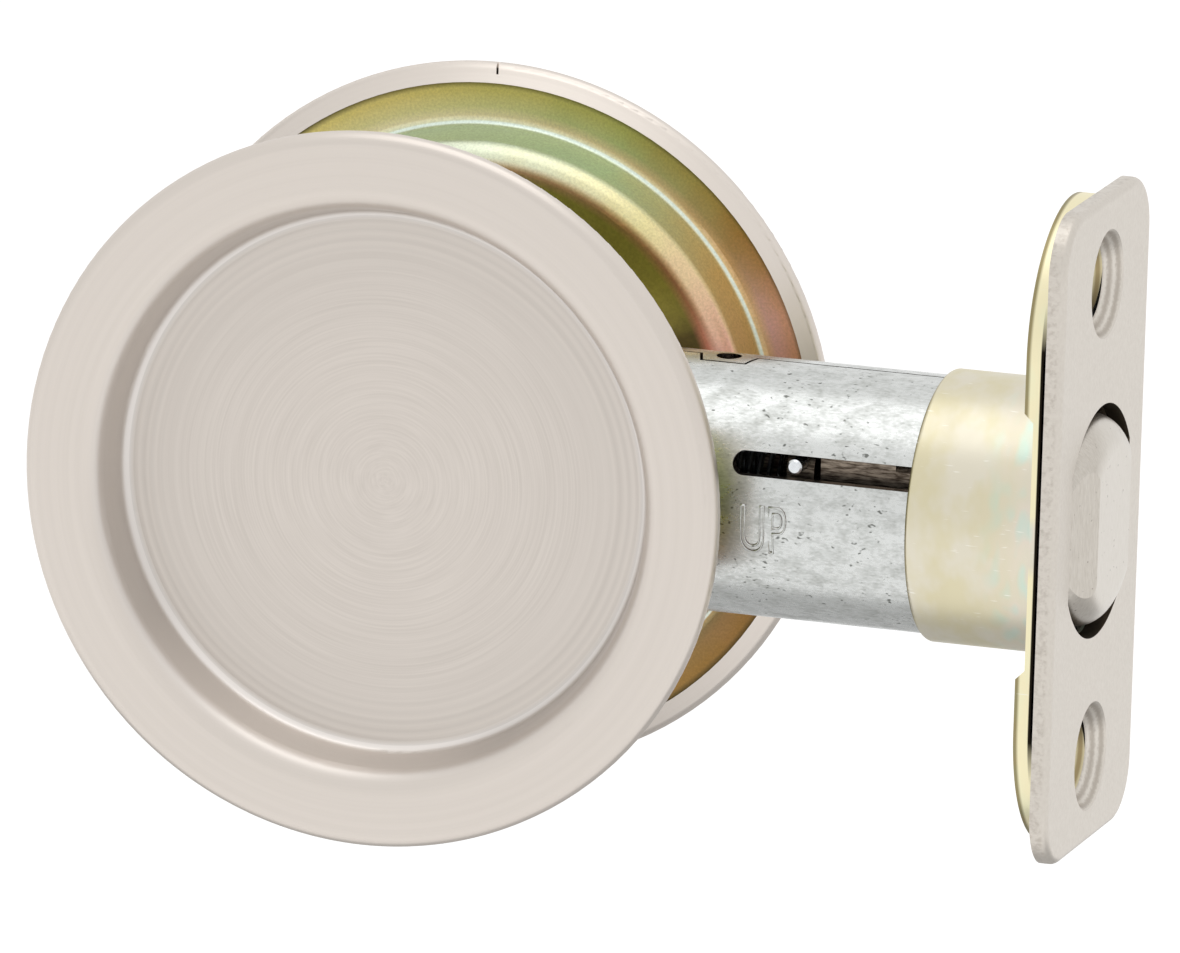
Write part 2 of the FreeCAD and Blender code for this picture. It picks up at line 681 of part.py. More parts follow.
def make_faceplate(doc):
    """Stamped faceplate with rounded corners, two countersunk holes and the bolt's window."""
    body = make_body(doc, "faceplate")
    sketch = make_sketch(body, "faceplate_outline", "YZ_Plane", FACE_BACK)
    wide = "(dims.face_width / 2)"
    tall = "(dims.face_height / 2)"
    near = f"({wide} - dims.face_corner)"
    high = f"({tall} - dims.face_corner)"
    draw(sketch, [
        (wide, f"-{high}"),
        (wide, high, "ccw", "dims.face_corner"),
        (near, tall),
        (f"-{near}", tall, "ccw", "dims.face_corner"),
        (f"-{wide}", high),
        (f"-{wide}", f"-{high}", "ccw", "dims.face_corner"),
        (f"-{near}", f"-{tall}"),
        (near, f"-{tall}", "ccw", "dims.face_corner"),
    ])
    blank = pad(body, sketch, "faceplate_blank", "dims.face_sheet")
    doc.recompute()
    front_edges = edges_where(blank, lambda edge: lies_at(edge, 0, 0))
    ease(body, "Fillet", blank, "faceplate_front_edge", front_edges, "dims.face_edge_round")
    window = make_sketch(body, "bolt_window_outline", "YZ_Plane")
    draw_double_d(window, "dims.window_od", "dims.window_flats")
    pocket(body, window, "bolt_window")
    cut_screw_holes(body, "faceplate", "0", "dims.countersink_od / 2")
    return body


def make_bolt(doc):
    """Cast bolt: bevelled nose, guided body, necked tail for the pin and a spigot for the spring."""
    body = make_body(doc, "bolt")
    spigot = make_sketch(body, "spigot_outline", "YZ_Plane", f"{TAIL_REAR} - dims.spigot_length")
    draw_circle(spigot, "0", "0", "dims.spigot_od / 2")
    pad(body, spigot, "spring_spigot", "dims.spigot_length + dims.tail_length / 2")
    tail = make_sketch(body, "tail_outline", "YZ_Plane", TAIL_REAR)
    draw_double_d(tail, "dims.tail_od", "dims.bolt_flats")
    pad(body, tail, "tail_disc", "dims.tail_length")
    neck = make_sketch(body, "neck_outline", "YZ_Plane", PIN_X)
    draw_circle(neck, "0", "0", "dims.neck_od / 2")
    pad(body, neck, "neck", f"{BODY_REAR} - {PIN_X}")
    guide = make_sketch(body, "guide_outline", "YZ_Plane", BODY_REAR)
    draw_double_d(guide, f"(2 * ({BORE_RADIUS} - dims.bolt_run_gap))", "dims.bolt_flats")
    pad(body, guide, "guided_body", f"{BODY_FRONT} - {BODY_REAR}")
    nose = make_sketch(body, "nose_outline", "YZ_Plane", BODY_FRONT)
    draw_double_d(nose, "dims.nose_od", "dims.bolt_flats")
    pad(body, nose, "nose", f"dims.bolt_proud - {BODY_FRONT}")

    tip = f"(dims.bolt_proud + {OVERCUT})"
    slope_flat = "dims.nose_bevel_flat / dims.nose_bevel_rise"
    flat_outer = f"(dims.bolt_flats / 2 + {OVERCUT})"
    flat_inner = f"(dims.bolt_flats / 2 - dims.nose_bevel_flat - {OVERCUT} * {slope_flat})"
    flat_root = f"(dims.bolt_proud - dims.nose_bevel_rise - {OVERCUT} / ({slope_flat}))"
    bevels = make_sketch(body, "flat_bevel_outline", "XY_Plane")
    draw(bevels, [(flat_root, flat_outer), (tip, flat_inner), (tip, flat_outer)])
    draw(bevels, [(flat_root, f"-{flat_outer}"), (tip, f"-{flat_outer}"), (tip, f"-{flat_inner}")])
    pocket(body, bevels, "flat_bevels", both_sides=True)
    end_outer = "(dims.nose_od / 2)"
    end_inner = f"({end_outer} - dims.nose_end_round)"
    end_root = "(dims.bolt_proud - dims.nose_end_round)"
    end_clear = f"({end_outer} + {OVERCUT})"
    ends = make_sketch(body, "nose_end_outline", "XY_Plane")
    draw(ends, [
        (end_root, end_outer, "cw", "dims.nose_end_round"),
        ("dims.bolt_proud", end_inner),
        (tip, end_inner),
        (tip, end_clear),
        (end_root, end_clear),
    ])
    revolve(body, "Groove", ends, "nose_end_rounds", "H_Axis")
    grip = make_sketch(body, "finger_grip_outline", "XY_Plane")
    draw_circle(grip, "-dims.grip_place", "dims.nose_od / 2 + dims.grip_radius - dims.grip_depth",
                "dims.grip_radius")
    revolve(body, "Groove", grip, "finger_grip", "H_Axis")
    hole = make_sketch(body, "pin_hole_outline", "XZ_Plane")
    draw_circle(hole, PIN_X, "dims.slot_height", "dims.pin_od / 2 + dims.pin_gap")
    pocket(body, hole, "pin_hole", both_sides=True)
    return body


def make_guide_pin(doc):
    """Cross pin held in the bolt's tail, its ends running in the tube's two slots."""
    body = make_body(doc, "guide_pin")
    sketch = make_sketch(body, "pin_outline", "XZ_Plane", "-dims.pin_length / 2")
    draw_circle(sketch, PIN_X, "dims.slot_height", "dims.pin_od / 2")
    shaft = pad(body, sketch, "pin_shaft", "dims.pin_length")
    doc.recompute()
    end = body.evalExpression("dims.pin_length / 2")
    rims = edges_where(shaft, lambda edge: lies_at(edge, 1, end) or lies_at(edge, 1, -end))
    ease(body, "Chamfer", shaft, "pin_ends", rims, "dims.pin_chamfer")
    return body


def make_spring(doc):
    """Compression spring between the stop and the bolt's tail."""
    mean_radius = "(dims.spring_od - dims.spring_wire) / 2"
    inset = "(dims.spring_wire / 2 + dims.spring_gap)"
    helix = make_primitive(doc, "Helix", "spring_path", {
        "Radius": mean_radius,
        "Pitch": "dims.spring_pitch",
        "Height": f"{TAIL_REAR} - {STOP_FACE} - 2 * {inset}",
    })
    wire = make_primitive(doc, "Circle", "spring_wire_section", {"Radius": "dims.spring_wire / 2"})
    wire.Placement.Rotation = FreeCAD.Rotation(FreeCAD.Vector(1, 0, 0), 90)
    wire.setExpression("Placement.Base.x", mean_radius)
    spring = doc.addObject("Part::Sweep", "bolt_spring")
    spring.Label = "bolt_spring"
    spring.Sections = [wire]
    spring.Spine = (helix, [])
    spring.Solid = True
    spring.Frenet = True
    spring.Placement.Rotation = FreeCAD.Rotation(FreeCAD.Vector(0, 1, 0), 90)
    spring.setExpression("Placement.Base.x", f"{FACE_FRONT} + {STOP_FACE} + {inset}")
    return spring


def make_stop(doc):
    """Turned stop pressed into the tube, with a spigot that centres the spring."""
    body = make_body(doc, "spring_stop")
    disc = make_sketch(body, "stop_outline", "YZ_Plane", f"{STOP_FACE} - dims.stop_length")
    draw_circle(disc, "0", "0", f"{BORE_RADIUS} - dims.stop_gap")
    pad(body, disc, "stop_disc", "dims.stop_length")
    spigot = make_sketch(body, "stop_spigot_outline", "YZ_Plane", STOP_FACE)
    draw_circle(spigot, "0", "0", "dims.spigot_od / 2")
    pad(body, spigot, "stop_spigot", "dims.spigot_length")
    return body


def make_leaf(doc):
    """Bowed leaf between the tube's bore and the bolt's rear flat, whose drag holds the bolt."""
    body = make_body(doc, "catch_leaf")
    half = "(dims.leaf_length / 2)"
    touch = "(dims.bolt_flats / 2 + dims.leaf_gap)"
    bore_at_edge = f"sqrt({BORE_RADIUS} ^ 2 - (dims.leaf_width / 2) ^ 2)"
    end = f"({bore_at_edge} - dims.leaf_gap - dims.leaf_sheet)"
    bow = f"({end} - {touch})"
    radius = f"(({half} ^ 2 + {bow} ^ 2) / (2 * {bow}))"
    rear = f"(-dims.leaf_place - {half})"
    front = f"(-dims.leaf_place + {half})"
    sketch = make_sketch(body, "leaf_section", "XY_Plane", "-dims.leaf_width / 2")
    draw(sketch, [
        (rear, end, "ccw", radius),
        (front, end),
        (front, f"({end} + dims.leaf_sheet)", "cw", radius),
        (rear, f"({end} + dims.leaf_sheet)"),
    ])
    pad(body, sketch, "leaf_strip", "dims.leaf_width")
    return body


def check(doc, pieces):
    """Stop if any object failed, or any piece is empty or not a valid solid."""
    for item in doc.Objects:
        if {"Invalid", "Error"} & set(item.State):
            raise RuntimeError(f"{item.Name} failed: {item.State}")
    for piece in pieces:
        shape = piece.Shape
        if shape.isNull() or not shape.isValid() or not shape.Solids:
            raise RuntimeError(f"{piece.Label} has no valid solid")


def main():
    """Build the pull and write one file for each of its pieces."""
    doc = FreeCAD.newDocument("pocket_door_pull")
    make_sheet(doc)
    pieces = []
    for facing in ("front", "rear"):
        pieces.append(make_cover(doc, facing))
        pieces.append(make_liner(doc, facing))
    for make in (make_posts, make_screws, make_tube, make_collar, make_faceplate,
                 make_bolt, make_guide_pin, make_spring, make_stop, make_leaf):
        pieces.append(make(doc))
    doc.recompute()
    check(doc, pieces)
    os.makedirs("parts", exist_ok=True)
    for piece in pieces:
        piece.Shape.exportStep(os.path.join("parts", f"{piece.Label}.step"))
        box = piece.Shape.optimalBoundingBox()
        print(f"{piece.Label}: {len(piece.Shape.Solids)} solid, {piece.Shape.Volume:.1f} mm3, "
              f"{box.XLength:.2f} x {box.YLength:.2f} x {box.ZLength:.2f} mm")


main()
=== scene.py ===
"""Looks of the round pocket door pull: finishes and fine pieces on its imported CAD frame.

Lengths in the classes are millimetres in the row frame: X out of the door's edge, the front cup at -Y
and Z up.
"""

import logging
import math
from abc import ABC, abstractmethod
from collections.abc import Mapping, Sequence
from dataclasses import dataclass, field
from enum import Enum
from typing import Any

import bpy
from mathutils import Matrix, Vector


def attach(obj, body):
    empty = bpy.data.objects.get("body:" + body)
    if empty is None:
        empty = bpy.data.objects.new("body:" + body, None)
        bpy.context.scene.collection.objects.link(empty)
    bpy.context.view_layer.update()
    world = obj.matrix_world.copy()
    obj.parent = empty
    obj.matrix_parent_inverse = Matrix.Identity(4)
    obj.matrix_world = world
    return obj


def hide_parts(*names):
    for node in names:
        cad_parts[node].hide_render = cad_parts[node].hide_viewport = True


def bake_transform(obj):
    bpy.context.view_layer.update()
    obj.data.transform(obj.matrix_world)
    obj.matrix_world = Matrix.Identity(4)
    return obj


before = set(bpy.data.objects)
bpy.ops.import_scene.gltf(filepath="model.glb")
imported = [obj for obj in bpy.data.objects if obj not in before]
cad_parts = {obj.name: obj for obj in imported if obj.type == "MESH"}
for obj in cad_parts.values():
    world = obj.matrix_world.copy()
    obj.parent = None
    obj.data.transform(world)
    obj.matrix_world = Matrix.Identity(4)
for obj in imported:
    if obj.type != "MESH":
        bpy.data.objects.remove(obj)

Tree = bpy.types.NodeTree
Node = bpy.types.Node
Socket = bpy.types.NodeSocket
Piece = bpy.types.Object
Inputs = Mapping[Any, Any] | Sequence[Any]
Pair = tuple[float, float]
Place = tuple[float, float, float]
Stops = tuple[tuple[float, str], ...]

MM = 0.001
WHITE = "#FFFFFF"
BLACK = "#000000"
# The mix node's sockets by number, because it repeats their names for each type of data
SHARE = 0
VALUE_A, VALUE_B = 2, 3
COLOUR_A, COLOUR_B = 6, 7

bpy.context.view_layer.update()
log = logging.getLogger("pocket_door_pull")


class Body(Enum):
    """CAD bodies that pieces ride on."""

    HOUSING = "housing"
    PLUNGER = "plunger"


class Slot(Enum):
    """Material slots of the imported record."""

    GALVANISED = "galvanised_steel"
    SPRING = "spring_steel"


def linear(hex_colour: str) -> tuple[float, float, float, float]:
    """Turn an sRGB hex colour into linear RGBA.

    Args:
        hex_colour: A colour such as "#D9D0C9".

    Returns:
        The colour's linear red, green and blue, and full alpha.
    """
    shares = [int(hex_colour[i:i + 2], 16) / 255 for i in (1, 3, 5)]
    red, green, blue = (s / 12.92 if s <= 0.04045 else ((s + 0.055) / 1.055) ** 2.4 for s in shares)
    return red, green, blue, 1.0


def metres(*lengths: float) -> tuple[float, ...]:
    """Turn millimetres into metres."""
    return tuple(length * MM for length in lengths)


def set_inputs(tree: Tree, node: Node, inputs: Inputs) -> None:
    """Set or link a node's input sockets.

    Args:
        tree: The tree that holds the node.
        node: The node.
        inputs: What goes into the sockets, in their order or by name or number: a value, a hex colour, a
            socket, or a node, which feeds by the first of its outputs in use.
    """
    for key, value in inputs.items() if isinstance(inputs, Mapping) else enumerate(inputs):
        if isinstance(value, Node):
            value = next(socket for socket in value.outputs if socket.enabled)
        if isinstance(value, Socket):
            tree.links.new(value, node.inputs[key])
        else:
            node.inputs[key].default_value = linear(value) if isinstance(value, str) else value


def add_node(tree: Tree, kind: str, inputs: Inputs = (), stops: Stops = (), **settings: Any) -> Node:
    """Add one node with its settings, and set or link its sockets.

    Args:
        tree: The material's or the world's node tree.
        kind: Blender's name for the kind of node, without the ShaderNode that it starts with.
        inputs: What goes into its sockets, as set_inputs takes it. A map range's are its value, from min,
            from max, to min and to max.
        stops: Places and hex colours along a colour ramp.
        **settings: The node's own properties.

    Returns:
        The new node.
    """
    node = tree.nodes.new("ShaderNode" + kind)
    for name, value in settings.items():
        setattr(node, name, value)
    if stops:
        elements = node.color_ramp.elements
        while len(elements) < len(stops):
            elements.new(1.0)
        for element, (place, colour) in zip(elements, stops):
            element.position = place
            element.color = linear(colour)
    set_inputs(tree, node, inputs)
    return node


def deselect_all() -> None:
    """Leave no object selected, so that an operator acts only on what is added next."""
    bpy.ops.object.select_all(action="DESELECT")


def dress(piece: Piece, material: bpy.types.Material) -> None:
    """Put one material on the whole of a piece.

    Args:
        piece: A CAD node or a new piece.
        material: Its finish.
    """
    if not piece.material_slots:
        piece.data.materials.append(material)
    for slot in piece.material_slots:
        slot.material = material
    log.info("%s is %s", piece.name, material.name)


class Finish(ABC):
    """A surface finish that makes its own material."""

    name: str

    def make(self) -> bpy.types.Material:
        """Make the material and return it."""
        material = bpy.data.materials.new(self.name)
        material.use_nodes = True
        self.wire(material.node_tree, material.node_tree.nodes["Principled BSDF"])
        return material

    @abstractmethod
    def wire(self, tree: Tree, shader: Node) -> None:
        """Add this finish's nodes.

        Args:
            tree: The material's node tree.
            shader: Its Principled BSDF.
        """

    @staticmethod
    def object_coords(tree: Tree) -> Socket:
        """Return the piece's own coordinates, in metres."""
        return add_node(tree, "TexCoord").outputs["Object"]

    @staticmethod
    def normal(tree: Tree, axis: str) -> Socket:
        """Return the part of the surface's normal that lies along X, Y or Z."""
        geometry = add_node(tree, "NewGeometry")
        return add_node(tree, "SeparateXYZ", (geometry.outputs["Normal"],)).outputs[axis]

    @staticmethod
    def facing(tree: Tree, axis: str) -> Node:
        """Return how squarely the surface faces X, Y or Z, either way, from 0 to 1."""
        return add_node(tree, "Math", (Finish.normal(tree, axis),), operation="ABSOLUTE")

    @staticmethod
    def polar(tree: Tree, axis_x: float) -> tuple[Node, Node]:
        """Measure round an axis that runs along Y.

        Args:
            tree: The material's node tree.
            axis_x: The axis's place along X.

        Returns:
            The heading from the axis, of length 1, and the distance from it in metres.
        """
        place = Finish.object_coords(tree)
        centred = add_node(tree, "VectorMath", (place, (axis_x * MM, 0, 0)), operation="SUBTRACT")
        flat = add_node(tree, "VectorMath", (centred, (1, 0, 1)), operation="MULTIPLY")
        heading = add_node(tree, "VectorMath", (flat,), operation="NORMALIZE")
        radius = add_node(tree, "VectorMath", (flat,), operation="LENGTH")
        return heading, radius

    @staticmethod
    def towards(tree: Tree, heading: Node, turn: float) -> Node:
        """Return the cosine of the angle between a heading and a turn, in degrees from X towards Z."""
        angle = math.radians(turn)
        return add_node(tree, "VectorMath", (heading, (math.cos(angle), 0, math.sin(angle))),
                        operation="DOT_PRODUCT")

    @staticmethod
    def latch_reach(tree: Tree, coords: Socket | Node) -> Node:
        """Return the distance of the coordinates from the latch's axis, in metres."""
        across = add_node(tree, "VectorMath", (coords, (0, 1, 1)), operation="MULTIPLY")
        return add_node(tree, "VectorMath", (across,), operation="LENGTH")

    @staticmethod
    def hole_reach(tree: Tree, coords: Socket, height: float) -> Node:
        """Return the distance in metres from the nearer screw hole, a height above or below the latch."""
        folded = add_node(tree, "VectorMath", (coords,), operation="ABSOLUTE")
        from_hole = add_node(tree, "VectorMath", (folded, (0, 0, height * MM)), operation="SUBTRACT")
        return Finish.latch_reach(tree, from_hole)

    @staticmethod
    def ripple(tree: Tree, distance: Socket | Node, pitch: float) -> Node:
        """Return waves of the given pitch along a distance in metres, from -1 to 1."""
        turns = add_node(tree, "Math", (distance, 2 * math.pi / (pitch * MM)), operation="MULTIPLY")
        return add_node(tree, "Math", (turns,), operation="SINE")

    @staticmethod
    def speckle(tree: Tree, coords: Socket, grain: Sequence[float], detail: float = 2.0) -> Node:
        """Draw a cloud of grains.

        Args:
            tree: The material's node tree.
            coords: The coordinates that carry it, in metres.
            grain: The grain's size along X, Y and Z.
            detail: How much finer structure it has.

        Returns:
            The noise, from 0 to 1.
        """
        stretched = add_node(tree, "VectorMath", (coords, tuple(1 / (g * MM) for g in grain)),
                             operation="MULTIPLY")
        return add_node(tree, "TexNoise", {
            "Vector": stretched, "Scale": 1.0, "Detail": detail, "Roughness": 0.6})


@dataclass(frozen=True)
class TurnedNickel(Finish):
    """Satin nickel plate on drawn sheet, brushed in rings that catch the light as fine hairlines."""

    name: str = "satin nickel, turned brushing"
    axis_x: float = -56.6
    floor_edge: float = 22.8
    floor_fade: float = 0.4
    rim_start: float = 24.4
    rim_fade: float = 1.0
    rim_share: float = 0.3
    deepen_start: float = 10.2
    # Painted shade: the cup's floor is darkened, more towards its edge
    floor_shade: Pair = (0.93, 0.87)
    # The photo has about 12 pixels to a millimetre, so hairs much finer than these would not show
    hair_pitch: float = 0.16
    hair_arcs: float = 1.3
    hair_relief: float = 0.25
    ridge_start: float = 17.0
    ridge_full: float = 20.5
    ridge_pitch: float = 0.62
    ridge_arcs: float = 0.3
    mark_range: Pair = (0.3, 0.7)
    mark_shade: Pair = (0.22, 0.5)
    groove_start: float = 19.4
    groove_entry: float = 1.6
    groove_pitch: float = 0.82
    groove_shade: float = 0.036
    lip_start: float = 29.2
    lip_facing: Pair = (-0.2, -0.9)
    lip_lean: float = 0.75
    # Painted highlight: the lip's back is lightened
    lip_highlight_lift: float = 0.13
    # Painted highlight: the wall is lightened, most in one patch low down
    highlight_patch_at: float = 256.0
    highlight_patch_spread: Pair = (0.7, 0.95)
    highlight_patch_lift: float = 0.2
    wall_highlight_lift: float = 0.07
    wall_tint: str = "#F8FBFF"
    light: str = "#DDD5CD"
    dark: str = "#CEC6BE"
    roughness: Pair = (0.32, 0.42)
    relief: float = 0.012
    relief_strength: float = 0.6
    stretch: float = 0.3
    stretch_turn: float = 0.25

    def rings(self, tree: Tree, heading: Node, radius: Node, pitch: float, arcs: float) -> Node:
        """Draw concentric brush marks.

        Args:
            tree: The material's node tree.
            heading: The heading from the cup's axis.
            radius: The distance from it.
            pitch: The marks' spacing.
            arcs: How many marks there are in each radian of a ring.

        Returns:
            The marks, from 0 to 1.
        """
        across = add_node(tree, "Math", (radius, 1 / (pitch * MM)), operation="MULTIPLY")
        steps = add_node(tree, "CombineXYZ", {"Y": across})
        laid = add_node(tree, "VectorMath", (heading, (arcs,) * 3, steps), operation="MULTIPLY_ADD")
        noise = add_node(tree, "TexNoise", {"Vector": laid, "Scale": 1.0, "Detail": 2.0})
        return add_node(tree, "MapRange", (noise, *self.mark_range))

    def grooves(self, tree: Tree, radius: Node) -> Node:
        """Return how much lighter or darker a few full rings make the outer floor at a radius."""
        wave = self.ripple(tree, radius, self.groove_pitch)
        entry = add_node(tree, "MapRange", (
            radius, *metres(self.groove_start, self.groove_start + self.groove_entry), 0, self.groove_shade))
        inside = add_node(tree, "Math", (radius, self.floor_edge * MM), operation="LESS_THAN")
        share = add_node(tree, "Math", (entry, inside), operation="MULTIPLY")
        return add_node(tree, "Math", (wave, share), operation="MULTIPLY")

    def lip_back(self, tree: Tree, radius: Node) -> Node:
        """Return a share that is 1 on the back of the folded lip, which faces the door, and 0 elsewhere."""
        place = add_node(tree, "SeparateXYZ", (self.object_coords(tree),))
        side = add_node(tree, "Math", (place.outputs["Y"],), operation="SIGN")
        outward = add_node(tree, "Math", (self.normal(tree, "Y"), side), operation="MULTIPLY")
        inward = add_node(tree, "MapRange", (outward, *self.lip_facing))
        on_lip = add_node(tree, "Math", (radius, self.lip_start * MM), operation="GREATER_THAN")
        return add_node(tree, "Math", (inward, on_lip), operation="MULTIPLY")

    def lean_lip(self, tree: Tree, heading: Node, lip: Node, normal: Node) -> Node:
        """Lean the light on the lip's back outwards, so that it is as bright as the photo's.

        Args:
            tree: The material's node tree.
            heading: The heading from the cup's axis.
            lip: 1 on the lip's back.
            normal: The brushed surface's normal.

        Returns:
            The normal, leaning outwards on the lip's back.
        """
        lean = add_node(tree, "Math", (lip, self.lip_lean), operation="MULTIPLY")
        push = add_node(tree, "VectorMath", {0: heading, "Scale": lean}, operation="SCALE")
        leaning = add_node(tree, "VectorMath", (normal, push), operation="ADD")
        return add_node(tree, "VectorMath", (leaning,), operation="NORMALIZE")

    def shade(self, tree: Tree, heading: Node, radius: Node, lip: Node, tone: Node) -> Node:
        """Paint shade on the floor, deeper outwards, a painted highlight on the wall, most in one patch low
        down, and a painted highlight on the lip's back.

        Args:
            tree: The material's node tree.
            heading: The heading from the cup's axis.
            radius: The distance from it.
            lip: 1 on the lip's back.
            tone: The brushed plate's colour.

        Returns:
            The colour at its brightness.
        """
        past_floor = add_node(tree, "MapRange", (
            radius, *metres(self.floor_edge, self.floor_edge + self.floor_fade)))
        below_rim = add_node(tree, "MapRange", (
            radius, *metres(self.rim_start, self.rim_start + self.rim_fade), 1, 0))
        wall = add_node(tree, "Math", (past_floor, below_rim), operation="MULTIPLY")
        # Painted shade on the floor, deeper towards the wall
        floor_painted_shade = add_node(tree, "MapRange", (
            radius, *metres(self.deepen_start, self.floor_edge), *self.floor_shade))
        floor_level = add_node(tree, "Math", (floor_painted_shade, past_floor), operation="MAXIMUM")
        # Painted highlight on the wall, strongest in one patch low down
        patch = add_node(tree, "MapRange", (
            self.towards(tree, heading, self.highlight_patch_at), *self.highlight_patch_spread, self.wall_highlight_lift,
            self.wall_highlight_lift + self.highlight_patch_lift), interpolation_type="SMOOTHSTEP")
        wall_highlight_level = add_node(tree, "Math", (patch, wall, floor_level), operation="MULTIPLY_ADD")
        grooved = add_node(tree, "Math", (wall_highlight_level, self.grooves(tree, radius)), operation="ADD")
        # Painted highlight on the lip's back
        level = add_node(tree, "Math", (lip, self.lip_highlight_lift, grooved), operation="MULTIPLY_ADD")
        cooled = add_node(tree, "Mix", {SHARE: wall, COLOUR_A: tone, COLOUR_B: self.wall_tint},
                          data_type="RGBA", blend_type="MULTIPLY")
        return add_node(tree, "VectorMath", {0: cooled, "Scale": level}, operation="SCALE")

    def wire(self, tree: Tree, shader: Node) -> None:
        """Lay hairline rings all over and coarser ridges towards the edge of the cup's floor."""
        heading, radius = self.polar(tree, self.axis_x)
        hair = self.rings(tree, heading, radius, self.hair_pitch, self.hair_arcs)
        ridge = self.rings(tree, heading, radius, self.ridge_pitch, self.ridge_arcs)
        on_floor = add_node(tree, "MapRange", (
            radius, *metres(self.floor_edge, self.rim_start), 1, self.rim_share))
        near_edge = add_node(tree, "MapRange", (radius, *metres(self.ridge_start, self.ridge_full)))
        ridged = add_node(tree, "Math", (ridge, near_edge), operation="MULTIPLY")
        height = add_node(tree, "Math", (hair, self.hair_relief, ridged), operation="MULTIPLY_ADD")
        cut = add_node(tree, "Math", (height, on_floor), operation="MULTIPLY")
        bump = add_node(tree, "Bump", {
            "Height": cut, "Strength": self.relief_strength, "Distance": self.relief * MM})
        contrast = add_node(tree, "MapRange", (on_floor, self.rim_share, 1, *self.mark_shade))
        marks = add_node(tree, "Mix", {SHARE: near_edge, VALUE_A: hair, VALUE_B: ridge})
        middle = 0.5
        centred = add_node(tree, "Math", (marks, middle), operation="SUBTRACT")
        stripe = add_node(tree, "Math", (centred, contrast, middle), operation="MULTIPLY_ADD")
        tone = add_node(tree, "Mix", {SHARE: stripe, COLOUR_A: self.light, COLOUR_B: self.dark},
                        data_type="RGBA")
        lip = self.lip_back(tree, radius)
        set_inputs(tree, shader, {
            "Metallic": 1.0, "Anisotropic": self.stretch, "Anisotropic Rotation": self.stretch_turn,
            "Base Color": self.shade(tree, heading, radius, lip, tone),
            "Roughness": add_node(tree, "MapRange", (hair, 0, 1, *self.roughness)),
            "Normal": self.lean_lip(tree, heading, lip, bump),
            "Tangent": add_node(tree, "Tangent", direction_type="RADIAL", axis="Y")})


@dataclass(frozen=True)
class PlateNickel(Finish):
    """Satin nickel plate on punched steel: tumbled face, torn edge and tool rings in the countersinks."""

    name: str = "satin nickel, punched plate"
    hole_height: float = 20.6375
    sink_radius: float = 4.7
    sink_fade: float = 0.15
    tool_pitch: float = 0.55
    tool_wobble: float = 0.3
    window_reach: float = 12.2
    edge_facing: Pair = (0.15, 0.5)
    face_grain: Place = (0.25, 0.25, 0.35)
    shear_grain: Place = (2.5, 2.5, 0.28)
    torn_grain: Place = (0.5, 0.5, 0.42)
    torn_range: Pair = (0.45, 0.7)
    torn_share: float = 0.75
    light: str = "#D7D1C8"
    dark: str = "#C8C1B8"
    cut: str = "#B4ACA2"
    # Painted shade on the cut wall round the bolt's opening
    window_wall_shade: str = "#6A6053"
    roughness: Pair = (0.32, 0.48)
    relief: float = 0.04
    relief_strength: Pair = (0.1, 0.4)

    def wire(self, tree: Tree, shader: Node) -> None:
        """Grain the face, draw close lines on the cut edge, lay tool rings in the countersinks and paint
        shade on the cut wall round the bolt's opening.
        """
        coords = self.object_coords(tree)
        grain = self.speckle(tree, coords, self.face_grain, 3.0)
        shear = self.speckle(tree, coords, self.shear_grain)
        on_edge = add_node(tree, "MapRange", (self.facing(tree, "X"), *self.edge_facing, 1, 0))
        reach = self.hole_reach(tree, coords, self.hole_height)
        in_sink = add_node(tree, "MapRange", (
            reach, *metres(self.sink_radius, self.sink_radius - self.sink_fade)))
        wobble = add_node(tree, "Math", (grain, self.tool_wobble * MM, reach), operation="MULTIPLY_ADD")
        ringed = add_node(tree, "MapRange", (self.ripple(tree, wobble, self.tool_pitch), -1, 1))
        flat = add_node(tree, "Mix", {SHARE: on_edge, VALUE_A: grain, VALUE_B: shear})
        marks = add_node(tree, "Mix", {SHARE: in_sink, VALUE_A: flat, VALUE_B: ringed})
        rough_cut = add_node(tree, "Math", (on_edge, in_sink), operation="MAXIMUM")
        depth = add_node(tree, "MapRange", (rough_cut, 0, 1, *self.relief_strength))
        plate = add_node(tree, "Mix", {SHARE: marks, COLOUR_A: self.light, COLOUR_B: self.dark},
                         data_type="RGBA")
        tool_marks = add_node(tree, "Math", (in_sink, ringed), operation="MULTIPLY")
        torn = add_node(tree, "MapRange", (
            self.speckle(tree, coords, self.torn_grain, 4.0), *self.torn_range, 0, self.torn_share))
        shear_marks = add_node(tree, "Math", (on_edge, torn), operation="MULTIPLY")
        scored = add_node(tree, "Math", (tool_marks, shear_marks), operation="MAXIMUM")
        marked = add_node(tree, "Mix", {SHARE: scored, COLOUR_A: plate, COLOUR_B: self.cut},
                          data_type="RGBA")
        # Painted shade: the cut wall round the bolt's opening is darkened
        near_axis = add_node(tree, "Math", (self.latch_reach(tree, coords), self.window_reach * MM),
                             operation="LESS_THAN")
        in_window = add_node(tree, "Math", (on_edge, near_axis), operation="MULTIPLY")
        set_inputs(tree, shader, {
            "Metallic": 1.0,
            "Base Color": add_node(tree, "Mix", {
                SHARE: in_window, COLOUR_A: marked, COLOUR_B: self.window_wall_shade}, data_type="RGBA"),
            "Roughness": add_node(tree, "MapRange", (grain, 0, 1, *self.roughness)),
            "Normal": add_node(tree, "Bump", {
                "Height": marks, "Strength": depth, "Distance": self.relief * MM})})


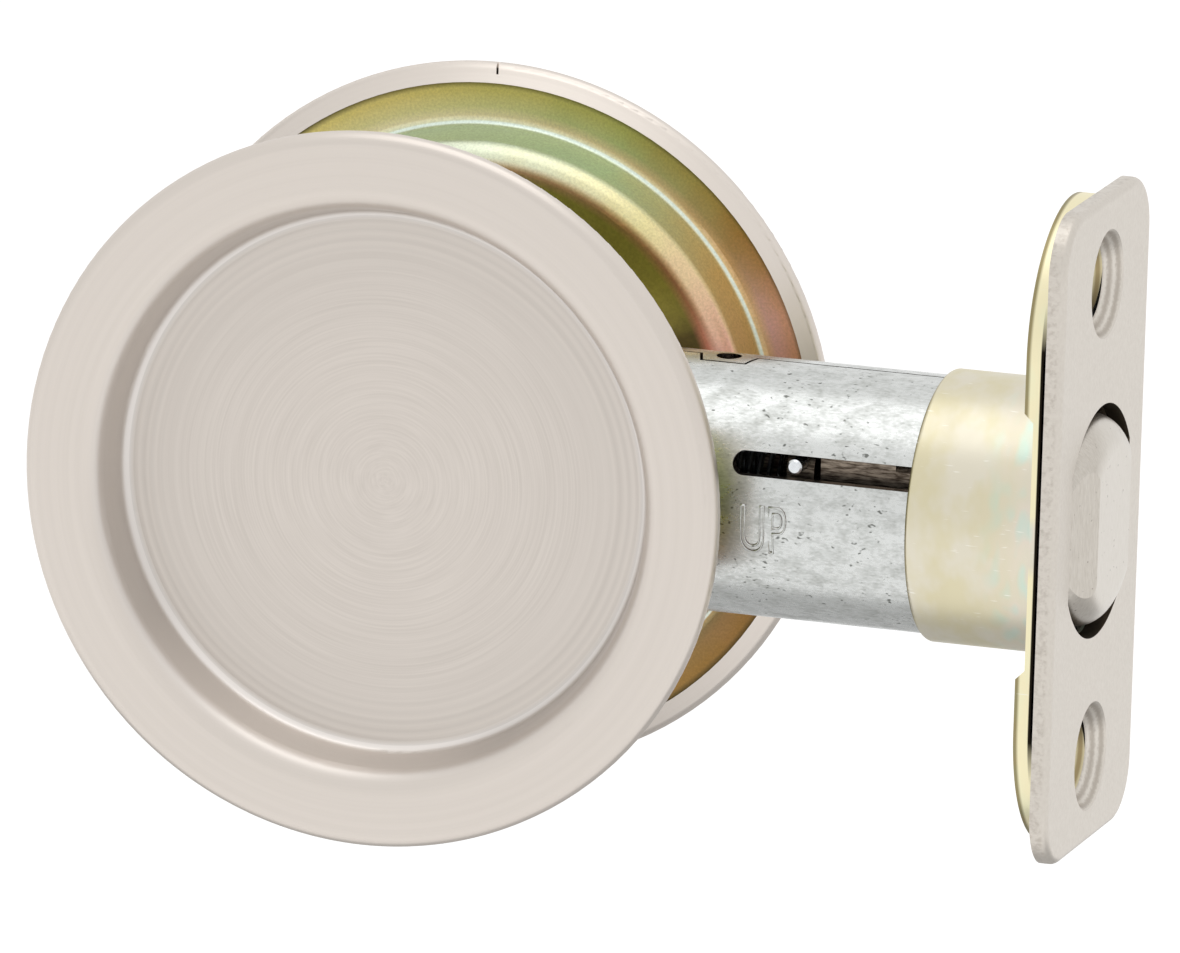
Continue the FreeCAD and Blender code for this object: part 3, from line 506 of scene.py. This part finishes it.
@dataclass(frozen=True)
class CastNickel(Finish):
    """Nickel plate on die-cast zinc: a soft, faintly dimpled sheen, left raw and brown behind the nose."""

    name: str = "nickel plate on cast zinc"
    raw_start: float = -8.0
    raw_fade: float = 1.0
    dimple_grain: Place = (0.9, 0.9, 1.6)
    plate_grain: Place = (0.3, 0.12, 0.9)
    pore_grain: Place = (0.35, 0.35, 0.35)
    pore_range: Pair = (0.8, 0.86)
    pore_share: float = 0.6
    raw_grain: Place = (1.4, 0.22, 0.22)
    bevel_facing: Pair = (0.1, 0.3)
    light: str = "#D9D4CC"
    dark: str = "#CAC4BB"
    # Filing streaks on the nose's sloped flanks, darkened as painted shade
    bevel_streak_shade: str = "#B8B1A7"
    raw: Stops = ((0.38, "#463C33"), (0.62, "#988C7E"))
    roughness: Pair = (0.28, 0.42)
    relief: float = 0.04
    relief_strength: float = 0.2

    def wire(self, tree: Tree, shader: Node) -> None:
        """Plate the nose and leave the bolt's body raw."""
        coords = self.object_coords(tree)
        dimples = self.speckle(tree, coords, self.dimple_grain)
        grain = self.speckle(tree, coords, self.plate_grain)
        specks = self.speckle(tree, coords, self.pore_grain, 0.0)
        along = add_node(tree, "SeparateXYZ", (coords,))
        raw = add_node(tree, "MapRange", (
            along.outputs["X"], *metres(self.raw_start, self.raw_start + self.raw_fade), 1, 0))
        pores = add_node(tree, "MapRange", (specks, *self.pore_range, 0, self.pore_share))
        worn = add_node(tree, "Math", (raw, pores), operation="MAXIMUM")
        plated = add_node(tree, "Mix", {SHARE: grain, COLOUR_A: self.light, COLOUR_B: self.dark},
                          data_type="RGBA")
        # Filing streaks on the sloped flanks, darker than the plate as painted shade
        on_bevel = add_node(tree, "MapRange", (self.facing(tree, "Y"), *self.bevel_facing))
        streaked = add_node(tree, "Math", (on_bevel, grain), operation="MULTIPLY")
        streaked_and_shaded = add_node(tree, "Mix", {SHARE: streaked, COLOUR_A: plated, COLOUR_B: self.bevel_streak_shade},
                         data_type="RGBA")
        casting = add_node(tree, "ValToRGB", (self.speckle(tree, coords, self.raw_grain, 4.0),),
                           stops=self.raw)
        set_inputs(tree, shader, {
            "Metallic": 1.0,
            "Base Color": add_node(tree, "Mix", {
                SHARE: worn, COLOUR_A: streaked_and_shaded, COLOUR_B: casting}, data_type="RGBA"),
            "Roughness": add_node(tree, "MapRange", (grain, 0, 1, *self.roughness)),
            "Normal": add_node(tree, "Bump", {
                "Height": dimples, "Strength": self.relief_strength, "Distance": self.relief * MM})})


@dataclass(frozen=True)
class RainbowChromate(Finish):
    """Zinc plate with yellow chromate: an oily rainbow from yellow-green through brown to mauve."""

    name: str = "yellow chromate on zinc"
    axis_x: float = -56.6
    yellow_at: float = 120.0
    drift: Pair = (0.49, 0.44)
    cloud_grain: Place = (4.0, 4.0, 4.0)
    cloud_share: float = 0.12
    grain: Place = (0.22, 0.22, 0.22)
    grain_range: Pair = (0.3, 0.7)
    grain_shade: Pair = (0.86, 1.08)
    floor_end: float = 21.5
    floor_fade: Pair = (0.2, 0.45)
    shoulder_end: float = 24.9
    shoulder_fade: float = 0.3
    bend_start: float = 25.5
    bend_end: float = 26.35
    tan_end: float = 27.2
    tan_share: float = 0.9
    lip_edge: float = 29.4
    lip_shadow: float = 0.55
    shadow_share: float = 0.9
    warm_end: float = 28.6
    ring: Stops = (
        (0.03, "#B8975E"), (0.44, "#DEAAA0"), (0.57, "#CDA56C"), (0.79, "#C9D490"), (1.0, "#E9E3A4"))
    wall: Stops = ((0.03, "#C89E60"), (0.54, "#E2CC8A"), (0.79, "#C8DCB6"), (1.0, "#BCCEB4"))
    # Film colours on the drum's shoulder, lightened as a painted highlight
    drum: Stops = ((0.03, "#C89E68"), (0.42, "#E8B29C"), (0.70, "#EEE2A6"), (1.0, "#E6F2DE"))
    # Tan film at the ring's inner edge, lightened as a painted highlight
    seam: Stops = ((0.03, "#A8986A"), (0.55, "#F2C68E"), (1.0, "#FFF8D0"))
    # Film colour on the drum's floor, darkened as painted shade
    floor: Stops = ((0.03, "#7A6A38"), (0.46, "#5A4A1C"), (0.58, "#AEA048"), (1.0, "#8E8E42"))
    # Pink film towards the floor, and a painted highlight that whitens the shoulder
    pink_and_highlight: Stops = ((0.45, "#D0A698"), (0.66, WHITE))
    # Painted highlight along the bend between the wall and the ring
    bend_highlight_line: Stops = ((0.18, BLACK), (0.32, "#F0F0F0"), (0.48, "#F0F0F0"), (0.62, BLACK))
    bend: str = "#F0FFF6"
    lip_shadow_colour: str = "#5C5424"
    outer_tint: str = "#FFF4D0"
    roughness: Pair = (0.24, 0.37)
    metal: Pair = (0.6, 0.35)
    relief: float = 0.02
    relief_strength: float = 0.15

    def zones(self, tree: Tree, radius: Node, past_bend: Node, drifted: Node) -> Node:
        """Colour the floor, darkened as painted shade, the drum's shoulder, with a painted highlight, the
        wall, the tan seam by the bend, lightened as a painted highlight, and the ring.

        Args:
            tree: The material's node tree.
            radius: The distance from the cup's axis.
            past_bend: 0 inside the bend between the wall and the ring, and 1 outside it.
            drifted: The film's place in its drift of colours.

        Returns:
            The film's colour.
        """
        ring, wall, drum, seam, floor = (
            add_node(tree, "ValToRGB", (drifted,), stops=stops)
            for stops in (self.ring, self.wall, self.drum, self.seam, self.floor))
        up_shoulder = add_node(tree, "MapRange", (radius, *metres(self.floor_end, self.shoulder_end)))
        past_shoulder = add_node(tree, "MapRange", (
            radius, *metres(self.shoulder_end - self.shoulder_fade, self.shoulder_end)))
        past_tan = add_node(tree, "MapRange", (
            radius, *metres(self.bend_end, self.tan_end), self.tan_share, 0))
        # Pink film and a painted highlight on the shoulder
        pink_and_highlight = add_node(tree, "ValToRGB", (up_shoulder,), stops=self.pink_and_highlight)
        tinted = add_node(tree, "Mix", {SHARE: 1.0, COLOUR_A: drum, COLOUR_B: pink_and_highlight},
                          data_type="RGBA", blend_type="MULTIPLY")
        # The floor's film colour, darkened as painted shade
        film = floor
        off_floor = add_node(tree, "MapRange", (up_shoulder, *self.floor_fade))
        outer = add_node(tree, "Mix", {SHARE: past_tan, COLOUR_A: ring, COLOUR_B: seam}, data_type="RGBA")
        for share, colour in ((off_floor, tinted), (past_shoulder, wall), (past_bend, outer)):
            film = add_node(tree, "Mix", {SHARE: share, COLOUR_A: film, COLOUR_B: colour}, data_type="RGBA")
        return film

    def wire(self, tree: Tree, shader: Node) -> None:
        """Drift the film's colour round the axis, differently in each zone, paint a shadow under the lip and
        a highlight along the bend.
        """
        heading, radius = self.polar(tree, self.axis_x)
        coords = self.object_coords(tree)
        cloud = self.speckle(tree, coords, self.cloud_grain, 3.0)
        grain = self.speckle(tree, coords, self.grain)
        film = add_node(tree, "Math", (self.towards(tree, heading, self.yellow_at), *self.drift),
                        operation="MULTIPLY_ADD")
        drifted = add_node(tree, "Math", (cloud, self.cloud_share, film), operation="MULTIPLY_ADD")
        past_bend = add_node(tree, "MapRange", (radius, *metres(self.bend_start, self.bend_end)))
        zones = self.zones(tree, radius, past_bend, drifted)
        outwards = add_node(tree, "MapRange", (radius, *metres(self.tan_end, self.warm_end)))
        warmed = add_node(tree, "Mix", {SHARE: outwards, COLOUR_A: zones, COLOUR_B: self.outer_tint},
                          data_type="RGBA", blend_type="MULTIPLY")
        # Painted shadow on the ring where it runs under the lip
        in_lip_shadow = add_node(tree, "MapRange", (
            radius, *metres(self.lip_edge - self.lip_shadow, self.lip_edge), 0, self.shadow_share))
        shaded = add_node(tree, "Mix", {SHARE: in_lip_shadow, COLOUR_A: warmed, COLOUR_B: self.lip_shadow_colour},
                          data_type="RGBA")
        # Painted highlight along the bend
        bright = add_node(tree, "ValToRGB", (past_bend,), stops=self.bend_highlight_line)
        bend_highlighted = add_node(tree, "Mix", {SHARE: bright, COLOUR_A: shaded, COLOUR_B: self.bend},
                         data_type="RGBA")
        shade = add_node(tree, "MapRange", (grain, *self.grain_range, *self.grain_shade))
        set_inputs(tree, shader, {
            "Metallic": add_node(tree, "MapRange", (past_bend, 0, 1, *self.metal)),
            "Base Color": add_node(tree, "VectorMath", {0: bend_highlighted, "Scale": shade}, operation="SCALE"),
            "Roughness": add_node(tree, "MapRange", (cloud, 0, 1, *self.roughness)),
            "Normal": add_node(tree, "Bump", {
                "Height": grain, "Strength": self.relief_strength, "Distance": self.relief * MM})})


@dataclass(frozen=True)
class PaleChromate(Finish):
    """Thin yellow chromate on a drawn collar: cream, with pale teal and pink drifts and white scuffs."""

    name: str = "pale yellow chromate on zinc"
    flange_x: float = 0.5
    flange_end: float = 1.1
    flange_facing: Pair = (0.6, 0.9)
    flange_share: float = 0.85
    drift: float = 5.0
    drift_share: float = 0.9
    collar_radius: float = 12.1
    collar_fade: float = 0.2
    # Painted shade at the collar's mouth, where it meets the tube
    tube_junction_band: Pair = (-10.3, -10.1)
    tube_junction_share: float = 0.9
    gap: Pair = (1.24, 1.32)
    gap_height: Pair = (17.0, 21.0)
    hole_height: float = 20.6375
    hole_radius: float = 3.6
    hole_facing: float = 0.9
    thread_pitch: float = 0.7
    thread_range: Pair = (-0.6, 0.6)
    thread_share: Pair = (0.55, 1.0)
    cloud_grain: Place = (4.0, 6.0, 6.0)
    patch_grain: Place = (1.8, 3.4, 3.4)
    grain: Place = (0.25, 0.25, 0.25)
    scuff_grain: Place = (1.8, 1.8, 0.25)
    scuff_range: Pair = (0.72, 0.8)
    scuff_share: float = 0.7
    film: Stops = ((0.4, "#D5CDAE"), (0.6, "#DAD4C2"))
    rainbow: Stops = ((0.28, "#C0DCD2"), (0.46, "#DAD4C2"), (0.6, "#DED5C6"), (0.82, "#C0DCD2"))
    # Painted shade at the back of the flange's edge and a painted highlight across the rest
    edge: Stops = ((0.0, "#857848"), (0.2, "#857848"), (0.42, "#EFE6BE"), (1.0, "#EFE6BE"))
    # Painted shade where the collar meets the tube
    tube_junction_shade: str = "#857848"
    scuff: str = "#F2F0E8"
    thread: str = "#9A8A66"
    shadow: str = "#1C1812"
    roughness: Pair = (0.28, 0.44)
    relief: float = 0.02
    relief_strength: float = 0.15

    def threads(self, tree: Tree, coords: Socket, along: Socket) -> Node:
        """Find the insides of the two screw holes, with lines like a thread's.

        Args:
            tree: The material's node tree.
            coords: The collar's own coordinates.
            along: The place along the latch.

        Returns:
            The share of the thread's colour.
        """
        near = add_node(tree, "Math", (
            self.hole_reach(tree, coords, self.hole_height), self.hole_radius * MM), operation="LESS_THAN")
        upright = add_node(tree, "Math", (self.facing(tree, "X"), self.hole_facing), operation="LESS_THAN")
        inside = add_node(tree, "Math", (near, upright), operation="MULTIPLY")
        wave = self.ripple(tree, along, self.thread_pitch)
        root = add_node(tree, "MapRange", (wave, *self.thread_range, *self.thread_share))
        return add_node(tree, "Math", (inside, root), operation="MULTIPLY")

    def gap_shadow(self, tree: Tree, place: Node) -> Node:
        """Find the flange's edge beside the gap behind the faceplate, where the photo shows a dark line.

        Args:
            tree: The material's node tree.
            place: The collar's own coordinates, separated.

        Returns:
            The share of the line's colour.
        """
        # Painted shadow on the flange's edge beside the gap
        behind = add_node(tree, "MapRange", (place.outputs["X"], *metres(*self.gap)))
        height = add_node(tree, "Math", (place.outputs["Z"],), operation="ABSOLUTE")
        beside = add_node(tree, "MapRange", (height, *metres(*self.gap_height), 1, 0))
        return add_node(tree, "Math", (behind, beside), operation="MULTIPLY")

    def flange_edge(self, tree: Tree, coords: Socket) -> Node:
        """Return the share of its own colour that the flange's sheared edge takes."""
        on_flange = add_node(tree, "MapRange", (
            self.latch_reach(tree, coords),
            *metres(self.collar_radius, self.collar_radius + self.collar_fade), 0, self.flange_share))
        upright = add_node(tree, "MapRange", (self.facing(tree, "X"), *self.flange_facing, 1, 0))
        return add_node(tree, "Math", (on_flange, upright), operation="MULTIPLY")

    def wire(self, tree: Tree, shader: Node) -> None:
        """Mix straw into cream in broad patches, add teal and pink by the flange, mark the edges with
        painted shade and highlight on the flange's edge, paint shade where the collar meets the tube and a
        shadow by the gap behind the faceplate.
        """
        coords = self.object_coords(tree)
        patch = self.speckle(tree, coords, self.patch_grain, 1.0)
        grain = self.speckle(tree, coords, self.grain)
        place = add_node(tree, "SeparateXYZ", (coords,))
        along = place.outputs["X"]
        near_flange = add_node(tree, "MapRange", (
            along, *metres(self.flange_x - self.drift, self.flange_x), 0, self.drift_share))
        film = add_node(tree, "ValToRGB", (self.speckle(tree, coords, self.cloud_grain, 3.0),),
                        stops=self.film)
        rainbow = add_node(tree, "ValToRGB", (patch,), stops=self.rainbow)
        scuffs = add_node(tree, "MapRange", (
            self.speckle(tree, coords, self.scuff_grain, 1.0), *self.scuff_range, 0, self.scuff_share))
        # Painted shade and highlight across the flange's sheared edge
        across_edge = add_node(tree, "MapRange", (along, 0, self.flange_end * MM))
        edge = add_node(tree, "ValToRGB", (across_edge,), stops=self.edge)
        # Painted shade at the collar's mouth, where it meets the tube
        in_tube_junction_shade = add_node(tree, "MapRange", (along, *metres(*self.tube_junction_band), self.tube_junction_share, 0))
        for share, colour in (
                (near_flange, rainbow), (self.flange_edge(tree, coords), edge), (in_tube_junction_shade, self.tube_junction_shade),
                (scuffs, self.scuff), (self.threads(tree, coords, along), self.thread),
                (self.gap_shadow(tree, place), self.shadow)):
            film = add_node(tree, "Mix", {SHARE: share, COLOUR_A: film, COLOUR_B: colour}, data_type="RGBA")
        set_inputs(tree, shader, {
            "Metallic": 1.0, "Base Color": film,
            "Roughness": add_node(tree, "MapRange", (patch, 0, 1, *self.roughness)),
            "Normal": add_node(tree, "Bump", {
                "Height": grain, "Strength": self.relief_strength, "Distance": self.relief * MM})})


@dataclass(frozen=True)
class GalvanisedSheet(Finish):
    """Bright galvanised sheet: a cool, mottled mirror with dull spangle and small dark pits."""

    name: str = "galvanised sheet, bright"
    spangle_grain: Place = (2.2, 1.4, 1.4)
    grain: Place = (0.5, 0.2, 0.2)
    grain_share: float = 0.8
    fleck_grain: Place = (0.6, 0.36, 0.36)
    swarm_grain: Place = (5.0, 4.0, 4.0)
    swarm_share: float = 0.3
    pit_range: Pair = (0.83, 0.92)
    pit_share: float = 0.85
    cut_facing: Pair = (0.3, 0.7)
    cut_share: float = 0.85
    zinc: Stops = ((0.6, "#AFB1AD"), (1.0, "#D4D6D4"))
    pit: str = "#5A5C57"
    rust: str = "#705A4B"
    gloss_range: Pair = (0.6, 1.1)
    roughness: Pair = (0.38, 0.24)
    relief: float = 0.03
    relief_strength: float = 0.2

    def wire(self, tree: Tree, shader: Node) -> None:
        """Cloud the zinc, grain it, strew pits that run along the tube and brown the cut edges."""
        coords = self.object_coords(tree)
        spangle = self.speckle(tree, coords, self.spangle_grain, 5.0)
        grain = self.speckle(tree, coords, self.grain, 3.0)
        flecks = self.speckle(tree, coords, self.fleck_grain, 1.0)
        swarm = self.speckle(tree, coords, self.swarm_grain, 1.0)
        crowded = add_node(tree, "Math", (swarm, self.swarm_share, flecks), operation="MULTIPLY_ADD")
        pits = add_node(tree, "MapRange", (crowded, *self.pit_range, 0, self.pit_share))
        mottle = add_node(tree, "Math", (grain, self.grain_share, spangle), operation="MULTIPLY_ADD")
        zinc = add_node(tree, "ValToRGB", (mottle,), stops=self.zinc)
        pitted = add_node(tree, "Mix", {SHARE: pits, COLOUR_A: zinc, COLOUR_B: self.pit}, data_type="RGBA")
        across = add_node(tree, "VectorMath", (coords, (0, 1, 1)), operation="MULTIPLY")
        outward = add_node(tree, "VectorMath", (across,), operation="NORMALIZE")
        geometry = add_node(tree, "NewGeometry")
        squareness = add_node(tree, "VectorMath", (outward, geometry.outputs["Normal"]),
                              operation="DOT_PRODUCT")
        slant = add_node(tree, "Math", (squareness,), operation="ABSOLUTE")
        cut = add_node(tree, "MapRange", (slant, *self.cut_facing, self.cut_share, 0))
        set_inputs(tree, shader, {
            "Metallic": 1.0,
            "Base Color": add_node(tree, "Mix", {
                SHARE: cut, COLOUR_A: pitted, COLOUR_B: self.rust}, data_type="RGBA"),
            "Roughness": add_node(tree, "MapRange", (mottle, *self.gloss_range, *self.roughness)),
            "Normal": add_node(tree, "Bump", {
                "Height": mottle, "Strength": self.relief_strength, "Distance": self.relief * MM})})


@dataclass(frozen=True)
class BrightZinc(Finish):
    """Bright zinc plate on small turned parts: cool silver with a faint haze."""

    name: str = "bright zinc plate"
    light: str = "#E8EAEC"
    haze: str = "#CDD1D4"
    grain: float = 0.5
    roughness: Pair = (0.16, 0.36)

    def wire(self, tree: Tree, shader: Node) -> None:
        """Haze the plate."""
        haze = self.speckle(tree, self.object_coords(tree), (self.grain,) * 3, 3.0)
        set_inputs(tree, shader, {
            "Metallic": 1.0,
            "Base Color": add_node(tree, "Mix", {
                SHARE: haze, COLOUR_A: self.light, COLOUR_B: self.haze}, data_type="RGBA"),
            "Roughness": add_node(tree, "MapRange", (haze, 0, 1, *self.roughness))})


def seen_rays(tree: Tree) -> Node:
    """Tell the rays that show the background itself: the camera's, and those in metal and glass.

    Args:
        tree: A material's or the world's node tree.

    Returns:
        A share that is 1 for such rays and 0 for the rest.
    """
    rays = add_node(tree, "LightPath").outputs
    direct = add_node(tree, "Math", (rays["Is Camera Ray"], rays["Is Glossy Ray"]), operation="MAXIMUM")
    return add_node(tree, "Math", (direct, rays["Is Transmission Ray"]), operation="MAXIMUM")


@dataclass(frozen=True)
class PaperSweep(Finish):
    """White paper sweep: matt, lifted to white where it is seen, so that only shadows show on it."""

    name: str = "white paper sweep"
    white: str = "#FAFAFA"
    lift: float = 0.27
    tooth: float = 1.0
    roughness: float = 0.9
    sheen: float = 0.1
    relief: float = 0.02
    relief_strength: float = 0.02

    def wire(self, tree: Tree, shader: Node) -> None:
        """Give the paper a faint tooth and lift it to white."""
        tooth = self.speckle(tree, self.object_coords(tree), (self.tooth,) * 3)
        set_inputs(tree, shader, {
            "Base Color": self.white, "Roughness": self.roughness, "Specular IOR Level": self.sheen,
            "Emission Color": WHITE,
            "Emission Strength": add_node(tree, "MapRange", (seen_rays(tree), 0, 1, 0, self.lift)),
            "Normal": add_node(tree, "Bump", {
                "Height": tooth, "Strength": self.relief_strength, "Distance": self.relief * MM})})


@dataclass(frozen=True)
class GreyFlag(Finish):
    """Grey studio flag: a card that glows an even grey, seen only in metal, as a painted reflection that
    shades its undersides.
    """

    name: str = "grey studio flag"
    grey: str = "#C6C6C6"

    def wire(self, tree: Tree, shader: Node) -> None:
        """Make the card glow one even grey, with no light of the room on it."""
        set_inputs(tree, shader, {
            "Base Color": BLACK, "Specular IOR Level": 0.0, "Emission Color": self.grey,
            "Emission Strength": 1.0})


@dataclass
class CupPair:
    """The two finger cups: satin covers, chromated liners, and the posts and screws that clamp them."""

    covers: tuple[str, ...] = ("front_cup_cover", "rear_cup_cover")
    liners: Mapping[str, float] = field(default_factory=lambda: {"front_liner": 60.0, "rear_liner": 120.0})
    clamps: tuple[str, ...] = ("clamp_posts", "clamp_screws")

    def dress(self) -> None:
        """Give each piece its finish."""
        nickel = TurnedNickel().make()
        zinc = BrightZinc().make()
        for names, material in ((self.covers, nickel), (self.clamps, zinc)):
            for name in names:
                dress(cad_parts[name], material)
        for name, yellow_at in self.liners.items():
            dress(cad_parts[name], RainbowChromate(yellow_at=yellow_at).make())


@dataclass
class LatchBarrel:
    """The rolled tube with its collar, spring stop and drag leaf, and the stamp that tells its top."""

    tube_radius: float = 11.1
    stamp_left: float = -25.15
    stamp_width: float = 4.15
    stamp_top: float = 1.0
    stamp_height: float = 4.3
    stamp_line: float = 0.15
    line_share: float = 0.02
    line_rounding: int = 2
    letter_steps: int = 6

    def build(self) -> Piece:
        """Emboss the word that tells which way is up.

        Returns:
            The stamp's outlines, raised on the front of the tube.
        """
        deselect_all()
        bpy.ops.object.text_add(rotation=(math.pi / 2, 0, 0))
        stamp = bpy.context.object
        stamp.name = "up_stamp"
        stamp.data.body = "UP"
        stamp.data.fill_mode = "NONE"
        stamp.data.bevel_depth = self.line_share
        stamp.data.bevel_resolution = self.line_rounding
        stamp.data.resolution_u = self.letter_steps
        bpy.ops.object.convert(target="MESH")
        bpy.ops.object.transform_apply(location=True, rotation=True, scale=True)
        low = Vector(stamp.bound_box[0])
        high = Vector(stamp.bound_box[6])
        wide = self.stamp_width * MM / (high.x - low.x)
        tall = self.stamp_height * MM / (high.z - low.z)
        deep = 2 * self.stamp_line * MM / (high.y - low.y)
        for vertex in stamp.data.vertices:
            x = self.stamp_left * MM + (vertex.co.x - low.x) * wide
            z = self.stamp_top * MM + (vertex.co.z - high.z) * tall
            proud = (vertex.co.y - (low.y + high.y) / 2) * deep
            vertex.co = (x, proud - math.sqrt((self.tube_radius * MM) ** 2 - z * z), z)
        bpy.ops.object.shade_smooth()
        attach(stamp, Body.HOUSING.value)
        return stamp

    def dress(self, stamp: Piece) -> None:
        """Give each piece its finish.

        Args:
            stamp: The raised word on the tube.
        """
        sheet = GalvanisedSheet().make()
        dress(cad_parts["latch_tube"], sheet)
        dress(stamp, sheet)
        dress(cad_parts["latch_collar"], PaleChromate().make())
        zinc = BrightZinc(name="zinc plate, dull", light="#C9CCCE", haze="#A9ADB0").make()
        for name in ("spring_stop", "catch_leaf"):
            dress(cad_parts[name], zinc)


@dataclass
class EdgePull:
    """The faceplate and what slides through it: the bolt, its guide pin and the spring behind it."""

    spring_start: float = -40.3
    spring_turns: int = 20
    spring_pitch: float = 0.9
    spring_od: float = 9.6
    spring_wire: float = 0.5
    wire_sides: int = 10
    turn_steps: int = 40
    smooth_angle: float = 50.0

    def build(self) -> Piece:
        """Coil the spring behind the bolt.

        Returns:
            The spring, which stands for its CAD solid.
        """
        deselect_all()
        bpy.ops.mesh.primitive_circle_add(
            vertices=self.wire_sides, radius=self.spring_wire / 2 * MM, rotation=(math.pi / 2, 0, 0),
            location=(self.spring_start * MM, 0, (self.spring_od - self.spring_wire) / 2 * MM))
        spring = bpy.context.object
        spring.name = "coil_spring"
        bpy.ops.object.transform_apply(location=True, rotation=True, scale=True)
        coil = spring.modifiers.new("coil", "SCREW")
        coil.axis = "X"
        coil.screw_offset = self.spring_pitch * MM
        coil.iterations = self.spring_turns
        coil.steps = self.turn_steps
        coil.render_steps = self.turn_steps
        bpy.ops.object.modifier_apply(modifier=coil.name)
        bpy.ops.object.mode_set(mode="EDIT")
        bpy.ops.mesh.select_all(action="SELECT")
        bpy.ops.mesh.fill_holes(sides=0)
        bpy.ops.mesh.normals_make_consistent(inside=False)
        bpy.ops.object.mode_set(mode="OBJECT")
        bpy.ops.object.shade_smooth_by_angle(angle=math.radians(self.smooth_angle))
        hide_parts("bolt_spring")
        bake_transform(spring)
        return spring

    def dress(self, spring: Piece) -> None:
        """Give each piece its finish.

        Args:
            spring: The coil behind the bolt.
        """
        dress(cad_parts["faceplate"], PlateNickel().make())
        dress(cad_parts["bolt"], CastNickel().make())
        dress(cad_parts["guide_pin"], BrightZinc(name="bright steel pin").make())
        dress(spring, BrightZinc(name="spring wire, oiled", light="#F0F2F4", haze="#D4D8DC",
                                 roughness=(0.06, 0.14)).make())


@dataclass
class Studio:
    """A white room under one broad softbox, with a grey flag beneath the object."""

    floor_height: float = -150.0
    floor_size: float = 12000.0
    flag_lift: float = 3.0
    flag_low: Pair = (-260.0, -15.0)
    flag_high: Pair = (160.0, 240.0)
    room_light: float = 0.8
    key_size: float = 900.0
    key_place: Place = (-42.0, -100.0, 1100.0)
    key_aim: Place = (-42.0, 0.0, 0.0)
    key_power: float = 1.8

    def build_floor(self) -> Piece:
        """Lay the sweep and return it."""
        deselect_all()
        bpy.ops.mesh.primitive_plane_add(size=self.floor_size * MM, location=(0, 0, self.floor_height * MM))
        floor = bpy.context.object
        floor.name = "paper_sweep"
        bpy.ops.object.transform_apply(location=True, rotation=True, scale=True)
        dress(floor, PaperSweep().make())
        return floor

    def build_flag(self) -> Piece:
        """Lay the grey flag on the floor, where only reflections show it, and return it."""
        deselect_all()
        low, high = Vector(self.flag_low), Vector(self.flag_high)
        middle = (low + high) / 2 * MM
        bpy.ops.mesh.primitive_plane_add(
            size=1.0, location=(middle.x, middle.y, (self.floor_height + self.flag_lift) * MM))
        flag = bpy.context.object
        flag.name = "grey_flag"
        flag.scale = ((high.x - low.x) * MM, (high.y - low.y) * MM, 1.0)
        bpy.ops.object.transform_apply(location=True, rotation=True, scale=True)
        flag.visible_camera = False
        flag.visible_diffuse = False
        flag.visible_shadow = False
        dress(flag, GreyFlag().make())
        return flag

    def build_world(self) -> bpy.types.World:
        """Surround the object with white, a little dimmer as light than as background, and return it."""
        world = bpy.data.worlds.new("studio")
        world.use_nodes = True
        bpy.context.scene.world = world
        tree = world.node_tree
        set_inputs(tree, tree.nodes["Background"], {
            "Color": WHITE,
            "Strength": add_node(tree, "MapRange", (seen_rays(tree), 0, 1, self.room_light, 1))})
        return world

    def hang_softbox(self) -> Piece:
        """Hang a square softbox over the object and return it."""
        name = "overhead_softbox"
        lamp = bpy.data.objects.new(name, bpy.data.lights.new(name, "AREA"))
        lamp.data.size = self.key_size * MM
        lamp.data.energy = self.key_power
        lamp.location = Vector(self.key_place) * MM
        downwards = Vector(self.key_aim) - Vector(self.key_place)
        lamp.rotation_euler = downwards.to_track_quat("-Z", "Y").to_euler()
        bpy.context.scene.collection.objects.link(lamp)
        return lamp

    def build(self) -> None:
        """Set up the floor, the flag, the world and the lamp."""
        self.build_floor()
        self.build_flag()
        self.build_world()
        self.hang_softbox()


@dataclass(frozen=True)
class PhotoCamera:
    """The long lens that took the photograph, level but for a slight roll."""

    target: Place = (-42.171, 0.0, -0.76)
    azimuth: float = 17.783
    elevation: float = 13.239
    roll: float = 1.74
    distance: float = 1591.9
    focal_pixels: float = 18552.5
    image_width: float = 1180.0
    sensor: float = 36.0
    sight: float = 100000.0

    def build(self) -> Piece:
        """Set the camera up at the photograph's viewpoint.

        Returns:
            The camera, which is also the scene's.
        """
        azimuth, elevation, roll = (math.radians(a) for a in (self.azimuth, self.elevation, self.roll))
        back = Vector((math.sin(azimuth) * math.cos(elevation), -math.cos(azimuth) * math.cos(elevation),
                       math.sin(elevation)))
        level = Vector((math.cos(azimuth), math.sin(azimuth), 0))
        upright = back.cross(level)
        right = math.cos(roll) * level + math.sin(roll) * upright
        up = math.cos(roll) * upright - math.sin(roll) * level
        camera = bpy.data.objects.new("photo_camera", bpy.data.cameras.new("photo_camera"))
        camera.data.sensor_width = self.sensor
        camera.data.lens = self.focal_pixels / self.image_width * self.sensor
        camera.data.clip_end = self.sight * MM
        camera.matrix_world = Matrix.LocRotScale(
            (Vector(self.target) + back * self.distance) * MM, Matrix((right, up, back)).transposed(), None)
        bpy.context.scene.collection.objects.link(camera)
        bpy.context.scene.camera = camera
        return camera


def main() -> None:
    """Dress the pull, light it and set the camera up."""
    logging.basicConfig(level=logging.INFO, format="%(name)s: %(message)s")
    bpy.context.scene.view_settings.view_transform = "Standard"
    CupPair().dress()
    barrel = LatchBarrel()
    barrel.dress(barrel.build())
    pull = EdgePull()
    pull.dress(pull.build())
    Studio().build()
    PhotoCamera().build()


if __name__ == "__main__":
    main()
